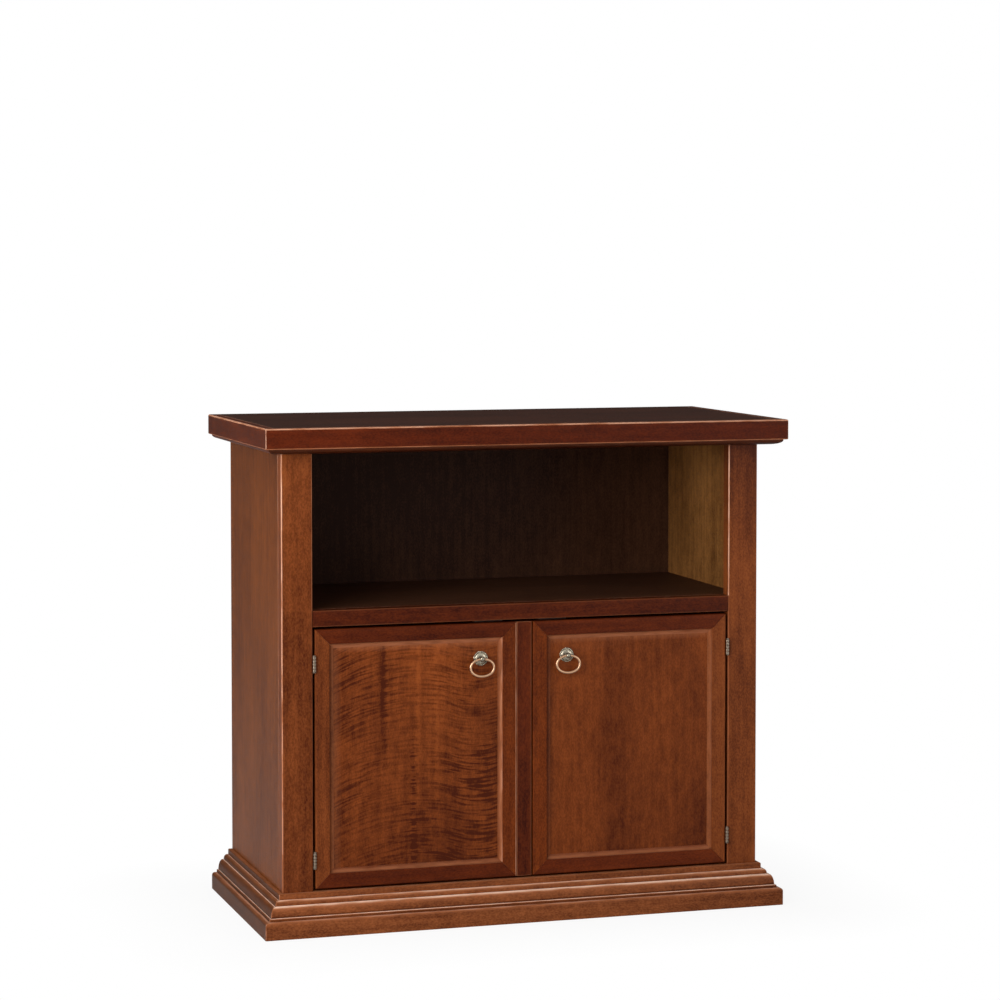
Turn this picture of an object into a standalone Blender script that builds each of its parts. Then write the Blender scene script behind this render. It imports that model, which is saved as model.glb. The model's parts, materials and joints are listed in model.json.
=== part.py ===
"""A low television cabinet in stained walnut: an open niche over a cupboard with two framed doors.

Metres, +Z up, the front faces -Y, and the origin is on the floor under the middle of the top.
"""

import math

import bmesh
import bpy
from mathutils import Matrix, Vector

# Clearances
SEAM = 0.0003
MITRE_SEAM = 0.0002
PIN_CLEARANCE = 0.00035
EYE_CLEARANCE = 0.0004

# Carcass
BODY_WIDTH = 0.800
BODY_DEPTH = 0.370
SIDE_THICK = 0.018
STILE_WIDTH = 0.050
STILE_THICK = 0.022
BACK_THICK = 0.006
BACK_LAP = 0.009
SHELF_THICK = 0.026
BOTTOM_THICK = 0.018
BASE_RAIL_THICK = 0.018
CLEAT_SIZE = 0.018
ARRIS = 0.0012
NICHE_HEIGHT = 0.2485

# Top and the moulded frame under it
FRONT_OVERHANG = 0.048
SIDE_OVERHANG = 0.035
BACK_OVERHANG = 0.012
TOP_THICK = 0.0327
LIPPING_WIDTH = 0.015
CORNICE_THICK = 0.0088
CORNICE_WIDTH = 0.070
CORNICE_SETBACK = 0.006
CORNICE_STEP = 0.0012
CORNICE_CURVE_RUN = 0.020

# Plinth moulding, from its lip down to the floor
PLINTH_HEIGHT = 0.066
LIP_PROJECTION = 0.007
LIP_HEIGHT = 0.009
UPPER_STEP = 0.0018
UPPER_OVOLO_RUN = 0.0058
UPPER_OVOLO_DROP = 0.0064
MIDDLE_STEP = 0.0020
MIDDLE_FALL = 0.0016
LOWER_OVOLO_RUN = 0.0074
LOWER_OVOLO_DROP = 0.0166
FILLET_STEP = 0.0028
FILLET_FALL = 0.0048
SHOULDER_RADIUS = 0.0048
SHOULDER_STEP = 0.0034

# Doors
DOOR_HEIGHT = 0.411
DOOR_THICK = 0.020
DOOR_TOP_GAP = 0.004
DOOR_BOTTOM_GAP = 0.003
HINGE_GAP = 0.004
MEETING_GAP = 0.002
FRAME_FACE = 0.0235
MOULD_WIDTH = 0.007
MOULD_DEPTH = 0.006
PANEL_THICK = 0.008
PANEL_TONGUE = 0.008
ASTRAGAL_WIDTH = 0.026
ASTRAGAL_SETBACK = 0.0012
ASTRAGAL_THICK = 0.016

# Butt hinges
BARREL_RADIUS = 0.003
BARREL_LENGTH = 0.025
PIN_RADIUS = 0.0014
PIN_HEAD_RADIUS = 0.0026
PIN_HEAD_HEIGHT = 0.0012
LEAF_THICK = 0.0012
LEAF_DEPTH = 0.017
KNUCKLES = 5
UPPER_HINGE_DROP = 0.054
LOWER_HINGE_RISE = 0.046

# Ring pulls
PULL_INSET = 0.0585
PULL_DROP = 0.057
ROSETTE_RADIUS = 0.0118
ROSETTE_RIM = 0.0019
ROSETTE_RIM_WIDTH = 0.0028
ROSETTE_CROWN = 0.0030
STEM_RADIUS = 0.0020
COLLAR_RADIUS = 0.0034
COLLAR_HEIGHT = 0.0012
NECK_RADIUS = 0.0024
BALL_RADIUS = 0.0046
EYE_STANDOFF = 0.0095
RING_HALF_WIDTH = 0.0195
RING_HALF_HEIGHT = 0.0140
RING_WIRE_RADIUS = 0.0020
NUT_RADIUS = 0.0042
NUT_THICK = 0.0026
STEM_TAIL = 0.0008

# Magnetic catches
CATCH_WIDTH = 0.046
CATCH_HEIGHT = 0.014
CATCH_DEPTH = 0.016
CATCH_INSET = 0.040
STRIKE_WIDTH = 0.036
STRIKE_HEIGHT = 0.012
STRIKE_THICK = 0.0014
MAGNET_GAP = 0.0005

# Steps in a round: a quarter of a moulding, a turned piece, a hinge barrel, the ring
QUARTER_STEPS = 5
TURNED_STEPS = 24
BARREL_STEPS = 20
RING_STEPS = 40

# Planes that the pieces share
HALF_BODY = BODY_WIDTH / 2
HALF_TOP = HALF_BODY + SIDE_OVERHANG
TOP_FRONT = -(FRONT_OVERHANG + BODY_DEPTH + BACK_OVERHANG) / 2
FRONT = TOP_FRONT + FRONT_OVERHANG
BACK = FRONT + BODY_DEPTH
TOP_BACK = BACK + BACK_OVERHANG
STILE_BACK = FRONT + STILE_THICK
BACK_PANEL_FRONT = BACK - BACK_THICK
INNER_SIDE = HALF_BODY - SIDE_THICK
HALF_OPENING = HALF_BODY - STILE_WIDTH
DOOR_BOTTOM = PLINTH_HEIGHT + DOOR_BOTTOM_GAP
DOOR_TOP = DOOR_BOTTOM + DOOR_HEIGHT
SHELF_UNDER = DOOR_TOP + DOOR_TOP_GAP
SHELF_TOP = SHELF_UNDER + SHELF_THICK
SOFFIT = SHELF_TOP + NICHE_HEIGHT
CORNICE_TOP = SOFFIT + CORNICE_THICK
TOP = CORNICE_TOP + TOP_THICK
BOTTOM_UNDER = PLINTH_HEIGHT - BOTTOM_THICK
DOOR_WIDTH = (2 * (HALF_OPENING - HINGE_GAP) - ASTRAGAL_WIDTH - MEETING_GAP) / 2
FRAME_WIDTH = FRAME_FACE + MOULD_WIDTH
PANEL_FRONT = FRONT + MOULD_DEPTH + SEAM
PANEL_BACK = PANEL_FRONT + PANEL_THICK
HINGE_X = HALF_OPENING - HINGE_GAP / 2
HINGE_PROUD = math.sqrt(max((BARREL_RADIUS + SEAM) ** 2 - (HINGE_GAP / 2) ** 2, 0.0))
HINGE_Y = FRONT - HINGE_PROUD
EYE_Y = PANEL_FRONT - SEAM - EYE_STANDOFF
PULL_Z = DOOR_TOP - PULL_DROP
SIDES = {"left": -1, "right": 1}


def clear_scene():
    """Removes every object, so that the model starts empty."""
    for item in list(bpy.data.objects):
        bpy.data.objects.remove(item, do_unlink=True)


def finish(name, colour, roughness, metallic=0.0):
    """A plain finish in one colour."""
    surface = bpy.data.materials.new(name)
    surface.use_nodes = True
    shader = surface.node_tree.nodes["Principled BSDF"]
    shader.inputs["Base Color"].default_value = (*colour, 1.0)
    shader.inputs["Roughness"].default_value = roughness
    shader.inputs["Metallic"].default_value = metallic
    return surface


def piece(name, shape, surface, pivot=None):
    """Makes an object of a shape given in the cabinet's frame, hung on a pivot where it has one."""
    bmesh.ops.recalc_face_normals(shape, faces=shape.faces)
    if pivot is not None:
        bmesh.ops.translate(shape, vec=-pivot.location, verts=shape.verts)
    mesh = bpy.data.meshes.new(name)
    shape.to_mesh(mesh)
    shape.free()
    mesh.materials.append(surface)
    made = bpy.data.objects.new(name, mesh)
    made.parent = pivot
    bpy.context.scene.collection.objects.link(made)
    return made


def pivot_at(name, place, parent=None):
    """An empty on a joint's axis."""
    pivot = bpy.data.objects.new(name, None)
    pivot.empty_display_size = BARREL_LENGTH
    pivot.location = Vector(place) - (parent.location if parent else Vector())
    pivot.parent = parent
    bpy.context.scene.collection.objects.link(pivot)
    return pivot


def bar(outline, place, start, end):
    """A bar of one section. place turns (p, q, along) into a point, start and end give along at p."""
    shape = bmesh.new()
    near = [shape.verts.new(place(p, q, start(p))) for p, q in outline]
    far = [shape.verts.new(place(p, q, end(p))) for p, q in outline]
    shape.faces.new(near)
    shape.faces.new(far)
    for i in range(len(outline)):
        j = (i + 1) % len(outline)
        shape.faces.new((near[i], near[j], far[j], far[i]))
    return shape


def board(low, high):
    """A rectangular board between two opposite corners."""
    shape = bmesh.new()
    bmesh.ops.create_cube(shape, size=1.0)
    size = Vector(high) - Vector(low)
    bmesh.ops.scale(shape, vec=size, verts=shape.verts)
    bmesh.ops.translate(shape, vec=(Vector(low) + Vector(high)) / 2, verts=shape.verts)
    return shape


def mirrored_board(side, low, high):
    """A board given on the +X side, placed on the side that the sign names."""
    ends = sorted((side * low[0], side * high[0]))
    return board((ends[0], low[1], low[2]), (ends[1], high[1], high[2]))


def turned(outline, steps, centre, toward):
    """A piece turned about an axis through centre: the outline is (radius, height along toward)."""
    shape = bmesh.new()
    points = [shape.verts.new((radius, 0.0, height)) for radius, height in outline]
    edges = [shape.edges.new(pair) for pair in zip(points, points[1:])]
    if min(radius for radius, _ in outline) > 0:
        edges.append(shape.edges.new((points[-1], points[0])))
    bmesh.ops.spin(
        shape,
        geom=points + edges,
        cent=(0, 0, 0),
        axis=(0, 0, 1),
        dvec=(0, 0, 0),
        angle=2 * math.pi,
        steps=steps,
    )
    bmesh.ops.remove_doubles(shape, verts=shape.verts, dist=1e-6)
    turn = Vector((0, 0, 1)).rotation_difference(Vector(toward)).to_matrix().to_4x4()
    bmesh.ops.transform(shape, matrix=Matrix.Translation(centre) @ turn, verts=shape.verts)
    return shape


def rod(radius, low, high, steps):
    """A round rod between two points."""
    along = Vector(high) - Vector(low)
    outline = [(0.0, 0.0), (radius, 0.0), (radius, along.length), (0.0, along.length)]
    return turned(outline, steps, low, along.normalized())


def cut(target, shape):
    """Cuts a shape, given in the cabinet's frame, out of a piece."""
    cutter = piece("cutter", shape, target.data.materials[0])
    modifier = target.modifiers.new("cut", "BOOLEAN")
    modifier.operation = "DIFFERENCE"
    modifier.solver = "EXACT"
    modifier.object = cutter
    bpy.context.view_layer.update()
    seen = target.evaluated_get(bpy.context.evaluated_depsgraph_get())
    whole = bpy.data.meshes.new_from_object(seen)
    target.modifiers.remove(modifier)
    target.data = whole
    bpy.data.objects.remove(cutter, do_unlink=True)


def smooth(made, degrees=40.0):
    """Shades the round faces of a piece smooth and keeps its sharp edges."""
    made.data.shade_smooth()
    made.data.set_sharp_from_angle(angle=math.radians(degrees))


def quarter(start, end, first):
    """Points of a quarter ellipse from start to end, without start. It sets off along first, p or q."""
    points = []
    for i in range(1, QUARTER_STEPS + 1):
        turn = math.pi / 2 * i / QUARTER_STEPS
        early = math.sin(turn)
        late = 1 - math.cos(turn)
        p_share, q_share = (late, early) if first == "q" else (early, late)
        points.append(
            (start[0] + (end[0] - start[0]) * p_share, start[1] + (end[1] - start[1]) * q_share)
        )
    return points


def top_board(wood):
    """The veneered top board, and the solid lippings round its front and sides."""
    board_side = HALF_TOP - LIPPING_WIDTH - SEAM
    board_front = TOP_FRONT + LIPPING_WIDTH + SEAM
    low = (-board_side, board_front, CORNICE_TOP)
    piece("top_board", board(low, (board_side, TOP_BACK, TOP)), wood["top"])
    section = [
        (0.0, CORNICE_TOP + ARRIS),
        (ARRIS, CORNICE_TOP),
        (LIPPING_WIDTH, CORNICE_TOP),
        (LIPPING_WIDTH, TOP),
        (ARRIS, TOP),
        (0.0, TOP - ARRIS),
    ]
    front = bar(
        section,
        lambda p, q, x: (x, TOP_FRONT + p, q),
        lambda p: -HALF_TOP + p + MITRE_SEAM,
        lambda p: HALF_TOP - p - MITRE_SEAM,
    )
    piece("top_lipping_front", front, wood["frame"])
    for name, side in SIDES.items():
        lipping = bar(
            section,
            lambda p, q, y: (side * (HALF_TOP - p), y, q),
            lambda p: TOP_FRONT + p + MITRE_SEAM,
            lambda p: TOP_BACK,
        )
        piece(f"top_lipping_{name}", lipping, wood["frame"])


def cornice(wood):
    """The moulded frame between the body and the top, its thumbnail edge set in under the lipping."""
    under_step = CORNICE_TOP - SEAM - CORNICE_STEP
    curve_end = (CORNICE_SETBACK + CORNICE_CURVE_RUN, SOFFIT)
    section = [(CORNICE_SETBACK, CORNICE_TOP - SEAM), (CORNICE_SETBACK, under_step)]
    section += quarter(section[-1], curve_end, "q")
    section += [(CORNICE_WIDTH, SOFFIT), (CORNICE_WIDTH, CORNICE_TOP - SEAM)]
    front = bar(
        section,
        lambda p, q, x: (x, TOP_FRONT + p, q),
        lambda p: -HALF_TOP + p + MITRE_SEAM,
        lambda p: HALF_TOP - p - MITRE_SEAM,
    )
    piece("cornice_front", front, wood["frame"])
    for name, side in SIDES.items():
        member = bar(
            section,
            lambda p, q, y: (side * (HALF_TOP - p), y, q),
            lambda p: TOP_FRONT + p + MITRE_SEAM,
            lambda p: TOP_BACK,
        )
        piece(f"cornice_{name}", member, wood["frame"])
    half = HALF_TOP - CORNICE_WIDTH - SEAM
    low = (-half, TOP_BACK - CORNICE_WIDTH, SOFFIT)
    piece("cornice_back", board(low, (half, TOP_BACK, CORNICE_TOP - SEAM)), wood["inside"])


def body_sides(wood):
    """Side panels with a rebate for the back panel, and the stiles on their front edges."""
    rebate_front = BACK_PANEL_FRONT - SEAM
    panel_section = [
        (HALF_BODY, STILE_BACK + SEAM),
        (INNER_SIDE, STILE_BACK + SEAM),
        (INNER_SIDE, rebate_front),
        (INNER_SIDE + BACK_LAP, rebate_front),
        (INNER_SIDE + BACK_LAP, BACK),
        (HALF_BODY, BACK),
    ]
    stile_section = [
        (HALF_BODY, FRONT + ARRIS),
        (HALF_BODY - ARRIS, FRONT),
        (HALF_OPENING + ARRIS, FRONT),
        (HALF_OPENING, FRONT + ARRIS),
        (HALF_OPENING, STILE_BACK),
        (HALF_BODY, STILE_BACK),
    ]
    for name, side in SIDES.items():
        for kind, section, surface in (
            ("side_panel", panel_section, wood["side"]),
            ("face_stile", stile_section, wood["frame"]),
        ):
            upright = bar(
                section,
                lambda p, q, z: (side * p, q, z),
                lambda p: 0.0,
                lambda p: SOFFIT - SEAM,
            )
            piece(f"{kind}_{name}", upright, surface)


def shelf_and_bottom(wood):
    """Shelf, bottom, back panel and the rails and cleats that carry them."""
    board_half = INNER_SIDE - SEAM
    rail_half = HALF_OPENING - SEAM
    board_front = STILE_BACK + SEAM
    board_back = BACK_PANEL_FRONT - SEAM
    low = (-board_half, board_front, SHELF_UNDER)
    piece("shelf_board", board(low, (board_half, board_back, SHELF_TOP)), wood["inside"])
    edge_section = [
        (FRONT + ARRIS, SHELF_UNDER),
        (FRONT, SHELF_UNDER + ARRIS),
        (FRONT, SHELF_TOP - ARRIS),
        (FRONT + ARRIS, SHELF_TOP),
        (STILE_BACK, SHELF_TOP),
        (STILE_BACK, SHELF_UNDER),
    ]
    edge = bar(edge_section, lambda p, q, x: (x, p, q), lambda p: -rail_half, lambda p: rail_half)
    piece("shelf_front_edge", edge, wood["frame"])
    low = (-board_half, board_front, BOTTOM_UNDER)
    piece("bottom_board", board(low, (board_half, board_back, PLINTH_HEIGHT)), wood["inside"])
    low = (-rail_half, FRONT, 0.0)
    piece("bottom_rail", board(low, (rail_half, STILE_BACK, PLINTH_HEIGHT)), wood["frame"])
    base_rail_front = board_back - BASE_RAIL_THICK
    low = (-board_half, base_rail_front, 0.0)
    high = (board_half, board_back, BOTTOM_UNDER - SEAM)
    piece("base_rail_back", board(low, high), wood["inside"])
    back_half = INNER_SIDE + BACK_LAP - SEAM
    low = (-back_half, BACK_PANEL_FRONT, BOTTOM_UNDER)
    piece("back_panel", board(low, (back_half, BACK, SOFFIT - SEAM)), wood["back"])
    for name, side in SIDES.items():
        for kind, top, back in (
            ("shelf_cleat", SHELF_UNDER, board_back),
            ("bottom_cleat", BOTTOM_UNDER, base_rail_front - SEAM),
        ):
            low = (board_half - CLEAT_SIZE, board_front, top - SEAM - CLEAT_SIZE)
            high = (board_half, back, top - SEAM)
            piece(f"{kind}_{name}", mirrored_board(side, low, high), wood["inside"])


def plinth_section():
    """Section of the plinth as (projection, height), from the lip down to the floor."""
    section = [(SEAM, PLINTH_HEIGHT), (LIP_PROJECTION - ARRIS, PLINTH_HEIGHT)]
    section += [(LIP_PROJECTION, PLINTH_HEIGHT - ARRIS)]
    p, q = LIP_PROJECTION, PLINTH_HEIGHT - LIP_HEIGHT
    section.append((p, q))
    p += UPPER_STEP
    section.append((p, q))
    section += quarter((p, q), (p + UPPER_OVOLO_RUN, q - UPPER_OVOLO_DROP), "p")
    p, q = section[-1]
    q -= MIDDLE_FALL
    section.append((p, q))
    p += MIDDLE_STEP
    section.append((p, q))
    section += quarter((p, q), (p + LOWER_OVOLO_RUN, q - LOWER_OVOLO_DROP), "p")
    p, q = section[-1]
    p += FILLET_STEP
    section.append((p, q))
    q -= FILLET_FALL
    section.append((p, q))
    p += SHOULDER_STEP
    section.append((p, q))
    section += quarter((p, q), (p + SHOULDER_RADIUS, q - SHOULDER_RADIUS), "p")
    section += [(section[-1][0], 0.0), (SEAM, 0.0)]
    return section


def plinth(wood):
    """The mitred plinth moulding along the front and the two sides."""
    section = plinth_section()
    front = bar(
        section,
        lambda p, q, x: (x, FRONT - p, q),
        lambda p: -HALF_BODY - p + MITRE_SEAM,
        lambda p: HALF_BODY + p - MITRE_SEAM,
    )
    piece("plinth_front", front, wood["frame"])
    for name, side in SIDES.items():
        member = bar(
            section,
            lambda p, q, y: (side * (HALF_BODY + p), y, q),
            lambda p: FRONT - p + MITRE_SEAM,
            lambda p: BACK,
        )
        piece(f"plinth_{name}", member, wood["frame"])


def door_section():
    """Section of a door's frame member as (distance in from the edge, depth from the front)."""
    groove_back = MOULD_DEPTH + PANEL_THICK + 2 * SEAM
    groove_end = FRAME_WIDTH - PANEL_TONGUE
    section = [(0.0, DOOR_THICK), (0.0, ARRIS), (ARRIS, 0.0), (FRAME_FACE, 0.0)]
    section += quarter((FRAME_FACE, 0.0), (FRAME_WIDTH, MOULD_DEPTH - ARRIS), "q")
    section += [
        (FRAME_WIDTH, MOULD_DEPTH),
        (groove_end, MOULD_DEPTH),
        (groove_end, groove_back),
        (FRAME_WIDTH, groove_back),
        (FRAME_WIDTH, DOOR_THICK),
    ]
    return section


def door(name, side, pivot, wood, metal):
    """One door: a mitred frame round a flat panel, with its strike plate."""
    hinge_edge = side * (HALF_OPENING - HINGE_GAP)
    free_edge = hinge_edge - side * DOOR_WIDTH
    section = door_section()
    for kind, edge, inward in (("hinge_stile", hinge_edge, -side), ("meeting_stile", free_edge, side)):
        member = bar(
            section,
            lambda u, v, z: (edge + inward * u, FRONT + v, z),
            lambda u: DOOR_BOTTOM + u + MITRE_SEAM,
            lambda u: DOOR_TOP - u - MITRE_SEAM,
        )
        piece(f"{name}_door_{kind}", member, wood["door"], pivot)
    left, right = sorted((hinge_edge, free_edge))
    for kind, edge, inward in (("top_rail", DOOR_TOP, -1), ("bottom_rail", DOOR_BOTTOM, 1)):
        member = bar(
            section,
            lambda u, v, x: (x, FRONT + v, edge + inward * u),
            lambda u: left + u + MITRE_SEAM,
            lambda u: right - u - MITRE_SEAM,
        )
        piece(f"{name}_door_{kind}", member, wood["door"], pivot)
    margin = FRAME_WIDTH - PANEL_TONGUE + SEAM
    low = (left + margin, PANEL_FRONT, DOOR_BOTTOM + margin)
    high = (right - margin, PANEL_BACK, DOOR_TOP - margin)
    panel = piece(f"{name}_door_panel", board(low, high), wood["panel"], pivot)
    pull_x = free_edge + side * PULL_INSET
    hole_front = (pull_x, PANEL_FRONT - PANEL_THICK, PULL_Z)
    hole_back = (pull_x, PANEL_BACK + PANEL_THICK, PULL_Z)
    cut(panel, rod(STEM_RADIUS + SEAM, hole_front, hole_back, TURNED_STEPS))
    strike_x = free_edge + side * CATCH_INSET
    strike_top = DOOR_TOP - (FRAME_WIDTH - STRIKE_HEIGHT) / 2
    low = (strike_x - STRIKE_WIDTH / 2, FRONT + DOOR_THICK + SEAM, strike_top - STRIKE_HEIGHT)
    high = (strike_x + STRIKE_WIDTH / 2, low[1] + STRIKE_THICK, strike_top)
    piece(f"{name}_strike_plate", board(low, high), metal["steel"], pivot)
    catch_front = FRONT + DOOR_THICK + SEAM + STRIKE_THICK + MAGNET_GAP
    low = (strike_x - CATCH_WIDTH / 2, catch_front, SHELF_UNDER - SEAM - CATCH_HEIGHT)
    high = (strike_x + CATCH_WIDTH / 2, catch_front + CATCH_DEPTH, SHELF_UNDER - SEAM)
    piece(f"{name}_magnet_catch", board(low, high), metal["plastic"])
    return pull_x


def astragal(pivot, wood):
    """The slightly crowned strip on the left door's free edge, which covers the meeting of the doors."""
    door_edge = -(HALF_OPENING - HINGE_GAP) + DOOR_WIDTH
    left = door_edge + SEAM
    right = door_edge + ASTRAGAL_WIDTH
    front = FRONT + ASTRAGAL_SETBACK
    section = [
        (left, front + ASTRAGAL_THICK),
        (left, front + ARRIS),
        (left + ARRIS, front),
        (right - ARRIS, front),
        (right, front + ARRIS),
        (right, front + ASTRAGAL_THICK),
    ]
    strip = bar(section, lambda x, y, z: (x, y, z), lambda p: DOOR_BOTTOM, lambda p: DOOR_TOP)
    piece("left_door_astragal", strip, wood["door"], pivot)


def leaf_section():
    """Section of a hinge leaf about the barrel's axis: a plate that runs into a round barrel."""
    outer = HINGE_GAP / 2 - SEAM
    inner = outer - LEAF_THICK
    start = math.atan2(math.sqrt(BARREL_RADIUS**2 - outer**2), outer)
    end = math.atan2(math.sqrt(BARREL_RADIUS**2 - inner**2), inner) - 2 * math.pi
    plate_end = HINGE_PROUD + LEAF_DEPTH
    section = [(inner, plate_end), (outer, plate_end)]
    for i in range(BARREL_STEPS + 1):
        turn = start + (end - start) * i / BARREL_STEPS
        section.append((BARREL_RADIUS * math.cos(turn), BARREL_RADIUS * math.sin(turn)))
    return section


def hinge(name, side, centre_z, pivot, metal):
    """A butt hinge: a leaf on the stile, a leaf on the door, and the pin through their knuckles."""
    axis_x = side * HINGE_X
    low = centre_z - BARREL_LENGTH / 2
    pitch = BARREL_LENGTH / KNUCKLES
    reach = BARREL_RADIUS + SEAM
    for kind, toward, owner, kept in (
        ("frame", side, None, 0),
        ("door", -side, pivot, 1),
    ):
        shape = bar(
            leaf_section(),
            lambda p, q, z: (axis_x + toward * p, HINGE_Y + q, z),
            lambda p: low,
            lambda p: low + BARREL_LENGTH,
        )
        made = piece(f"{name}_hinge_{kind}_leaf", shape, metal["bronze"])
        bore = rod(
            PIN_RADIUS + PIN_CLEARANCE,
            (axis_x, HINGE_Y, low - pitch),
            (axis_x, HINGE_Y, low + BARREL_LENGTH + pitch),
            BARREL_STEPS,
        )
        cut(made, bore)
        for knuckle in range(KNUCKLES):
            if knuckle % 2 != kept:
                bottom = low + knuckle * pitch - (SEAM / 2 if knuckle > 0 else pitch)
                top = low + (knuckle + 1) * pitch + (SEAM / 2 if knuckle < KNUCKLES - 1 else pitch)
                notch = board(
                    (axis_x - 2 * reach, HINGE_Y - 2 * reach, bottom),
                    (axis_x + 2 * reach, HINGE_Y + reach, top),
                )
                cut(made, notch)
        if owner is not None:
            made.data.transform(Matrix.Translation(-owner.location))
            made.parent = owner
        smooth(made)
    half = BARREL_LENGTH / 2
    head = half + SEAM + PIN_HEAD_HEIGHT
    outline = [
        (0.0, -head),
        (PIN_HEAD_RADIUS, -head),
        (PIN_HEAD_RADIUS, -half - SEAM),
        (PIN_RADIUS, -half - SEAM),
        (PIN_RADIUS, half + SEAM),
        (PIN_HEAD_RADIUS, half + SEAM),
        (PIN_HEAD_RADIUS, head),
        (0.0, head),
    ]
    pin = turned(outline, BARREL_STEPS, (axis_x, HINGE_Y, centre_z), (0, 0, 1))
    smooth(piece(f"{name}_hinge_pin", pin, metal["bronze"]))


def pull(name, pull_x, pivot, ring_pivot, metal):
    """A ring pull: rosette, post with a ball head, nut behind the panel, and the hanging ring."""
    toward = (0, -1, 0)
    seat = (pull_x, PANEL_FRONT - SEAM, PULL_Z)
    hole = STEM_RADIUS + SEAM
    rim_inner = ROSETTE_RADIUS - ROSETTE_RIM_WIDTH
    outline = [
        (hole, 0.0),
        (ROSETTE_RADIUS, 0.0),
        (ROSETTE_RADIUS, ROSETTE_RIM / 2),
        (ROSETTE_RADIUS - ROSETTE_RIM_WIDTH / 3, ROSETTE_RIM),
        (rim_inner + ROSETTE_RIM_WIDTH / 3, ROSETTE_RIM),
        (rim_inner, ROSETTE_RIM / 2),
        (COLLAR_RADIUS + ROSETTE_RIM_WIDTH, (ROSETTE_RIM + ROSETTE_CROWN) / 2),
        (COLLAR_RADIUS, ROSETTE_CROWN),
        (hole, ROSETTE_CROWN),
    ]
    rosette = turned(outline, TURNED_STEPS, seat, toward)
    smooth(piece(f"{name}_pull_rosette", rosette, metal["brass"], pivot))

    nut_front = -(2 * SEAM + PANEL_THICK)
    tail = nut_front - NUT_THICK - STEM_TAIL
    collar = ROSETTE_CROWN + SEAM
    neck_end = math.acos(min(NECK_RADIUS / BALL_RADIUS, 1.0))
    outline = [
        (0.0, tail),
        (STEM_RADIUS, tail),
        (STEM_RADIUS, collar),
        (COLLAR_RADIUS, collar),
        (COLLAR_RADIUS, collar + COLLAR_HEIGHT),
        (NECK_RADIUS, collar + COLLAR_HEIGHT),
    ]
    ball_steps = 2 * QUARTER_STEPS
    for i in range(ball_steps + 1):
        turn = -neck_end + (math.pi / 2 + neck_end) * i / ball_steps
        radius = BALL_RADIUS * math.cos(turn) if i < ball_steps else 0.0
        outline.append((radius, EYE_STANDOFF + BALL_RADIUS * math.sin(turn)))
    post = piece(f"{name}_pull_post", turned(outline, TURNED_STEPS, seat, toward), metal["brass"])
    sag = BALL_RADIUS**2 * RING_HALF_HEIGHT / (2 * RING_HALF_WIDTH**2)
    eye_radius = RING_WIRE_RADIUS + sag + EYE_CLEARANCE
    eye_reach = 2 * BALL_RADIUS
    eye = rod(
        eye_radius, (pull_x - eye_reach, EYE_Y, PULL_Z), (pull_x + eye_reach, EYE_Y, PULL_Z), BARREL_STEPS
    )
    cut(post, eye)
    post.data.transform(Matrix.Translation(-pivot.location))
    post.parent = pivot
    smooth(post)

    hexagon = 6
    nut_hole = hole / math.cos(math.pi / hexagon)
    outline = [
        (nut_hole, nut_front),
        (nut_hole, nut_front - NUT_THICK),
        (NUT_RADIUS, nut_front - NUT_THICK),
        (NUT_RADIUS, nut_front),
    ]
    piece(f"{name}_pull_nut", turned(outline, hexagon, seat, toward), metal["steel"], pivot)

    route = bpy.data.curves.new(f"{name}_ring", "CURVE")
    route.dimensions = "3D"
    route.bevel_depth = RING_WIRE_RADIUS
    route.bevel_resolution = 3
    loop = route.splines.new("POLY")
    loop.points.add(RING_STEPS - 1)
    loop.use_cyclic_u = True
    for i, point in enumerate(loop.points):
        turn = 2 * math.pi * i / RING_STEPS
        x = RING_HALF_WIDTH * math.sin(turn)
        z = RING_HALF_HEIGHT * (math.cos(turn) - 1)
        point.co = (x, 0.0, z, 1.0)
    route.materials.append(metal["brass"])
    ring = bpy.data.objects.new(f"{name}_ring", route)
    ring.parent = ring_pivot
    bpy.context.scene.collection.objects.link(ring)


def main():
    clear_scene()
    wood = {
        "top": finish("top_veneer", (0.065, 0.022, 0.010), 0.35),
        "frame": finish("stained_walnut", (0.150, 0.050, 0.020), 0.38),
        "side": finish("side_veneer", (0.170, 0.065, 0.030), 0.42),
        "door": finish("door_frame_walnut", (0.130, 0.040, 0.015), 0.38),
        "panel": finish("door_panel_veneer", (0.150, 0.045, 0.016), 0.36),
        "inside": finish("inside_walnut", (0.070, 0.028, 0.014), 0.50),
        "back": finish("back_board", (0.060, 0.025, 0.014), 0.60),
    }
    metal = {
        "brass": finish("antique_brass", (0.520, 0.400, 0.230), 0.32, 1.0),
        "bronze": finish("hinge_bronze", (0.200, 0.150, 0.100), 0.45, 1.0),
        "steel": finish("zinc_steel", (0.550, 0.550, 0.540), 0.40, 1.0),
        "plastic": finish("catch_plastic", (0.060, 0.030, 0.018), 0.55),
    }
    top_board(wood)
    cornice(wood)
    body_sides(wood)
    shelf_and_bottom(wood)
    plinth(wood)
    for name, side in SIDES.items():
        pivot = pivot_at(f"{name}_door_axis", (side * HINGE_X, HINGE_Y, DOOR_BOTTOM))
        pull_x = door(name, side, pivot, wood, metal)
        if name == "left":
            astragal(pivot, wood)
        hinge(f"{name}_upper", side, DOOR_TOP - UPPER_HINGE_DROP, pivot, metal)
        hinge(f"{name}_lower", side, DOOR_BOTTOM + LOWER_HINGE_RISE, pivot, metal)
        ring_pivot = pivot_at(f"{name}_ring_axis", (pull_x, EYE_Y, PULL_Z), pivot)
        pull(name, pull_x, pivot, ring_pivot, metal)


main()
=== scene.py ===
"""Dresses the television cabinet: eased walnut boards and mouldings, framed doors, brass ring pulls.

Metres, +Z up, and the front faces -Y, as in the frame that is loaded first.
"""

import json
import math

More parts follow.
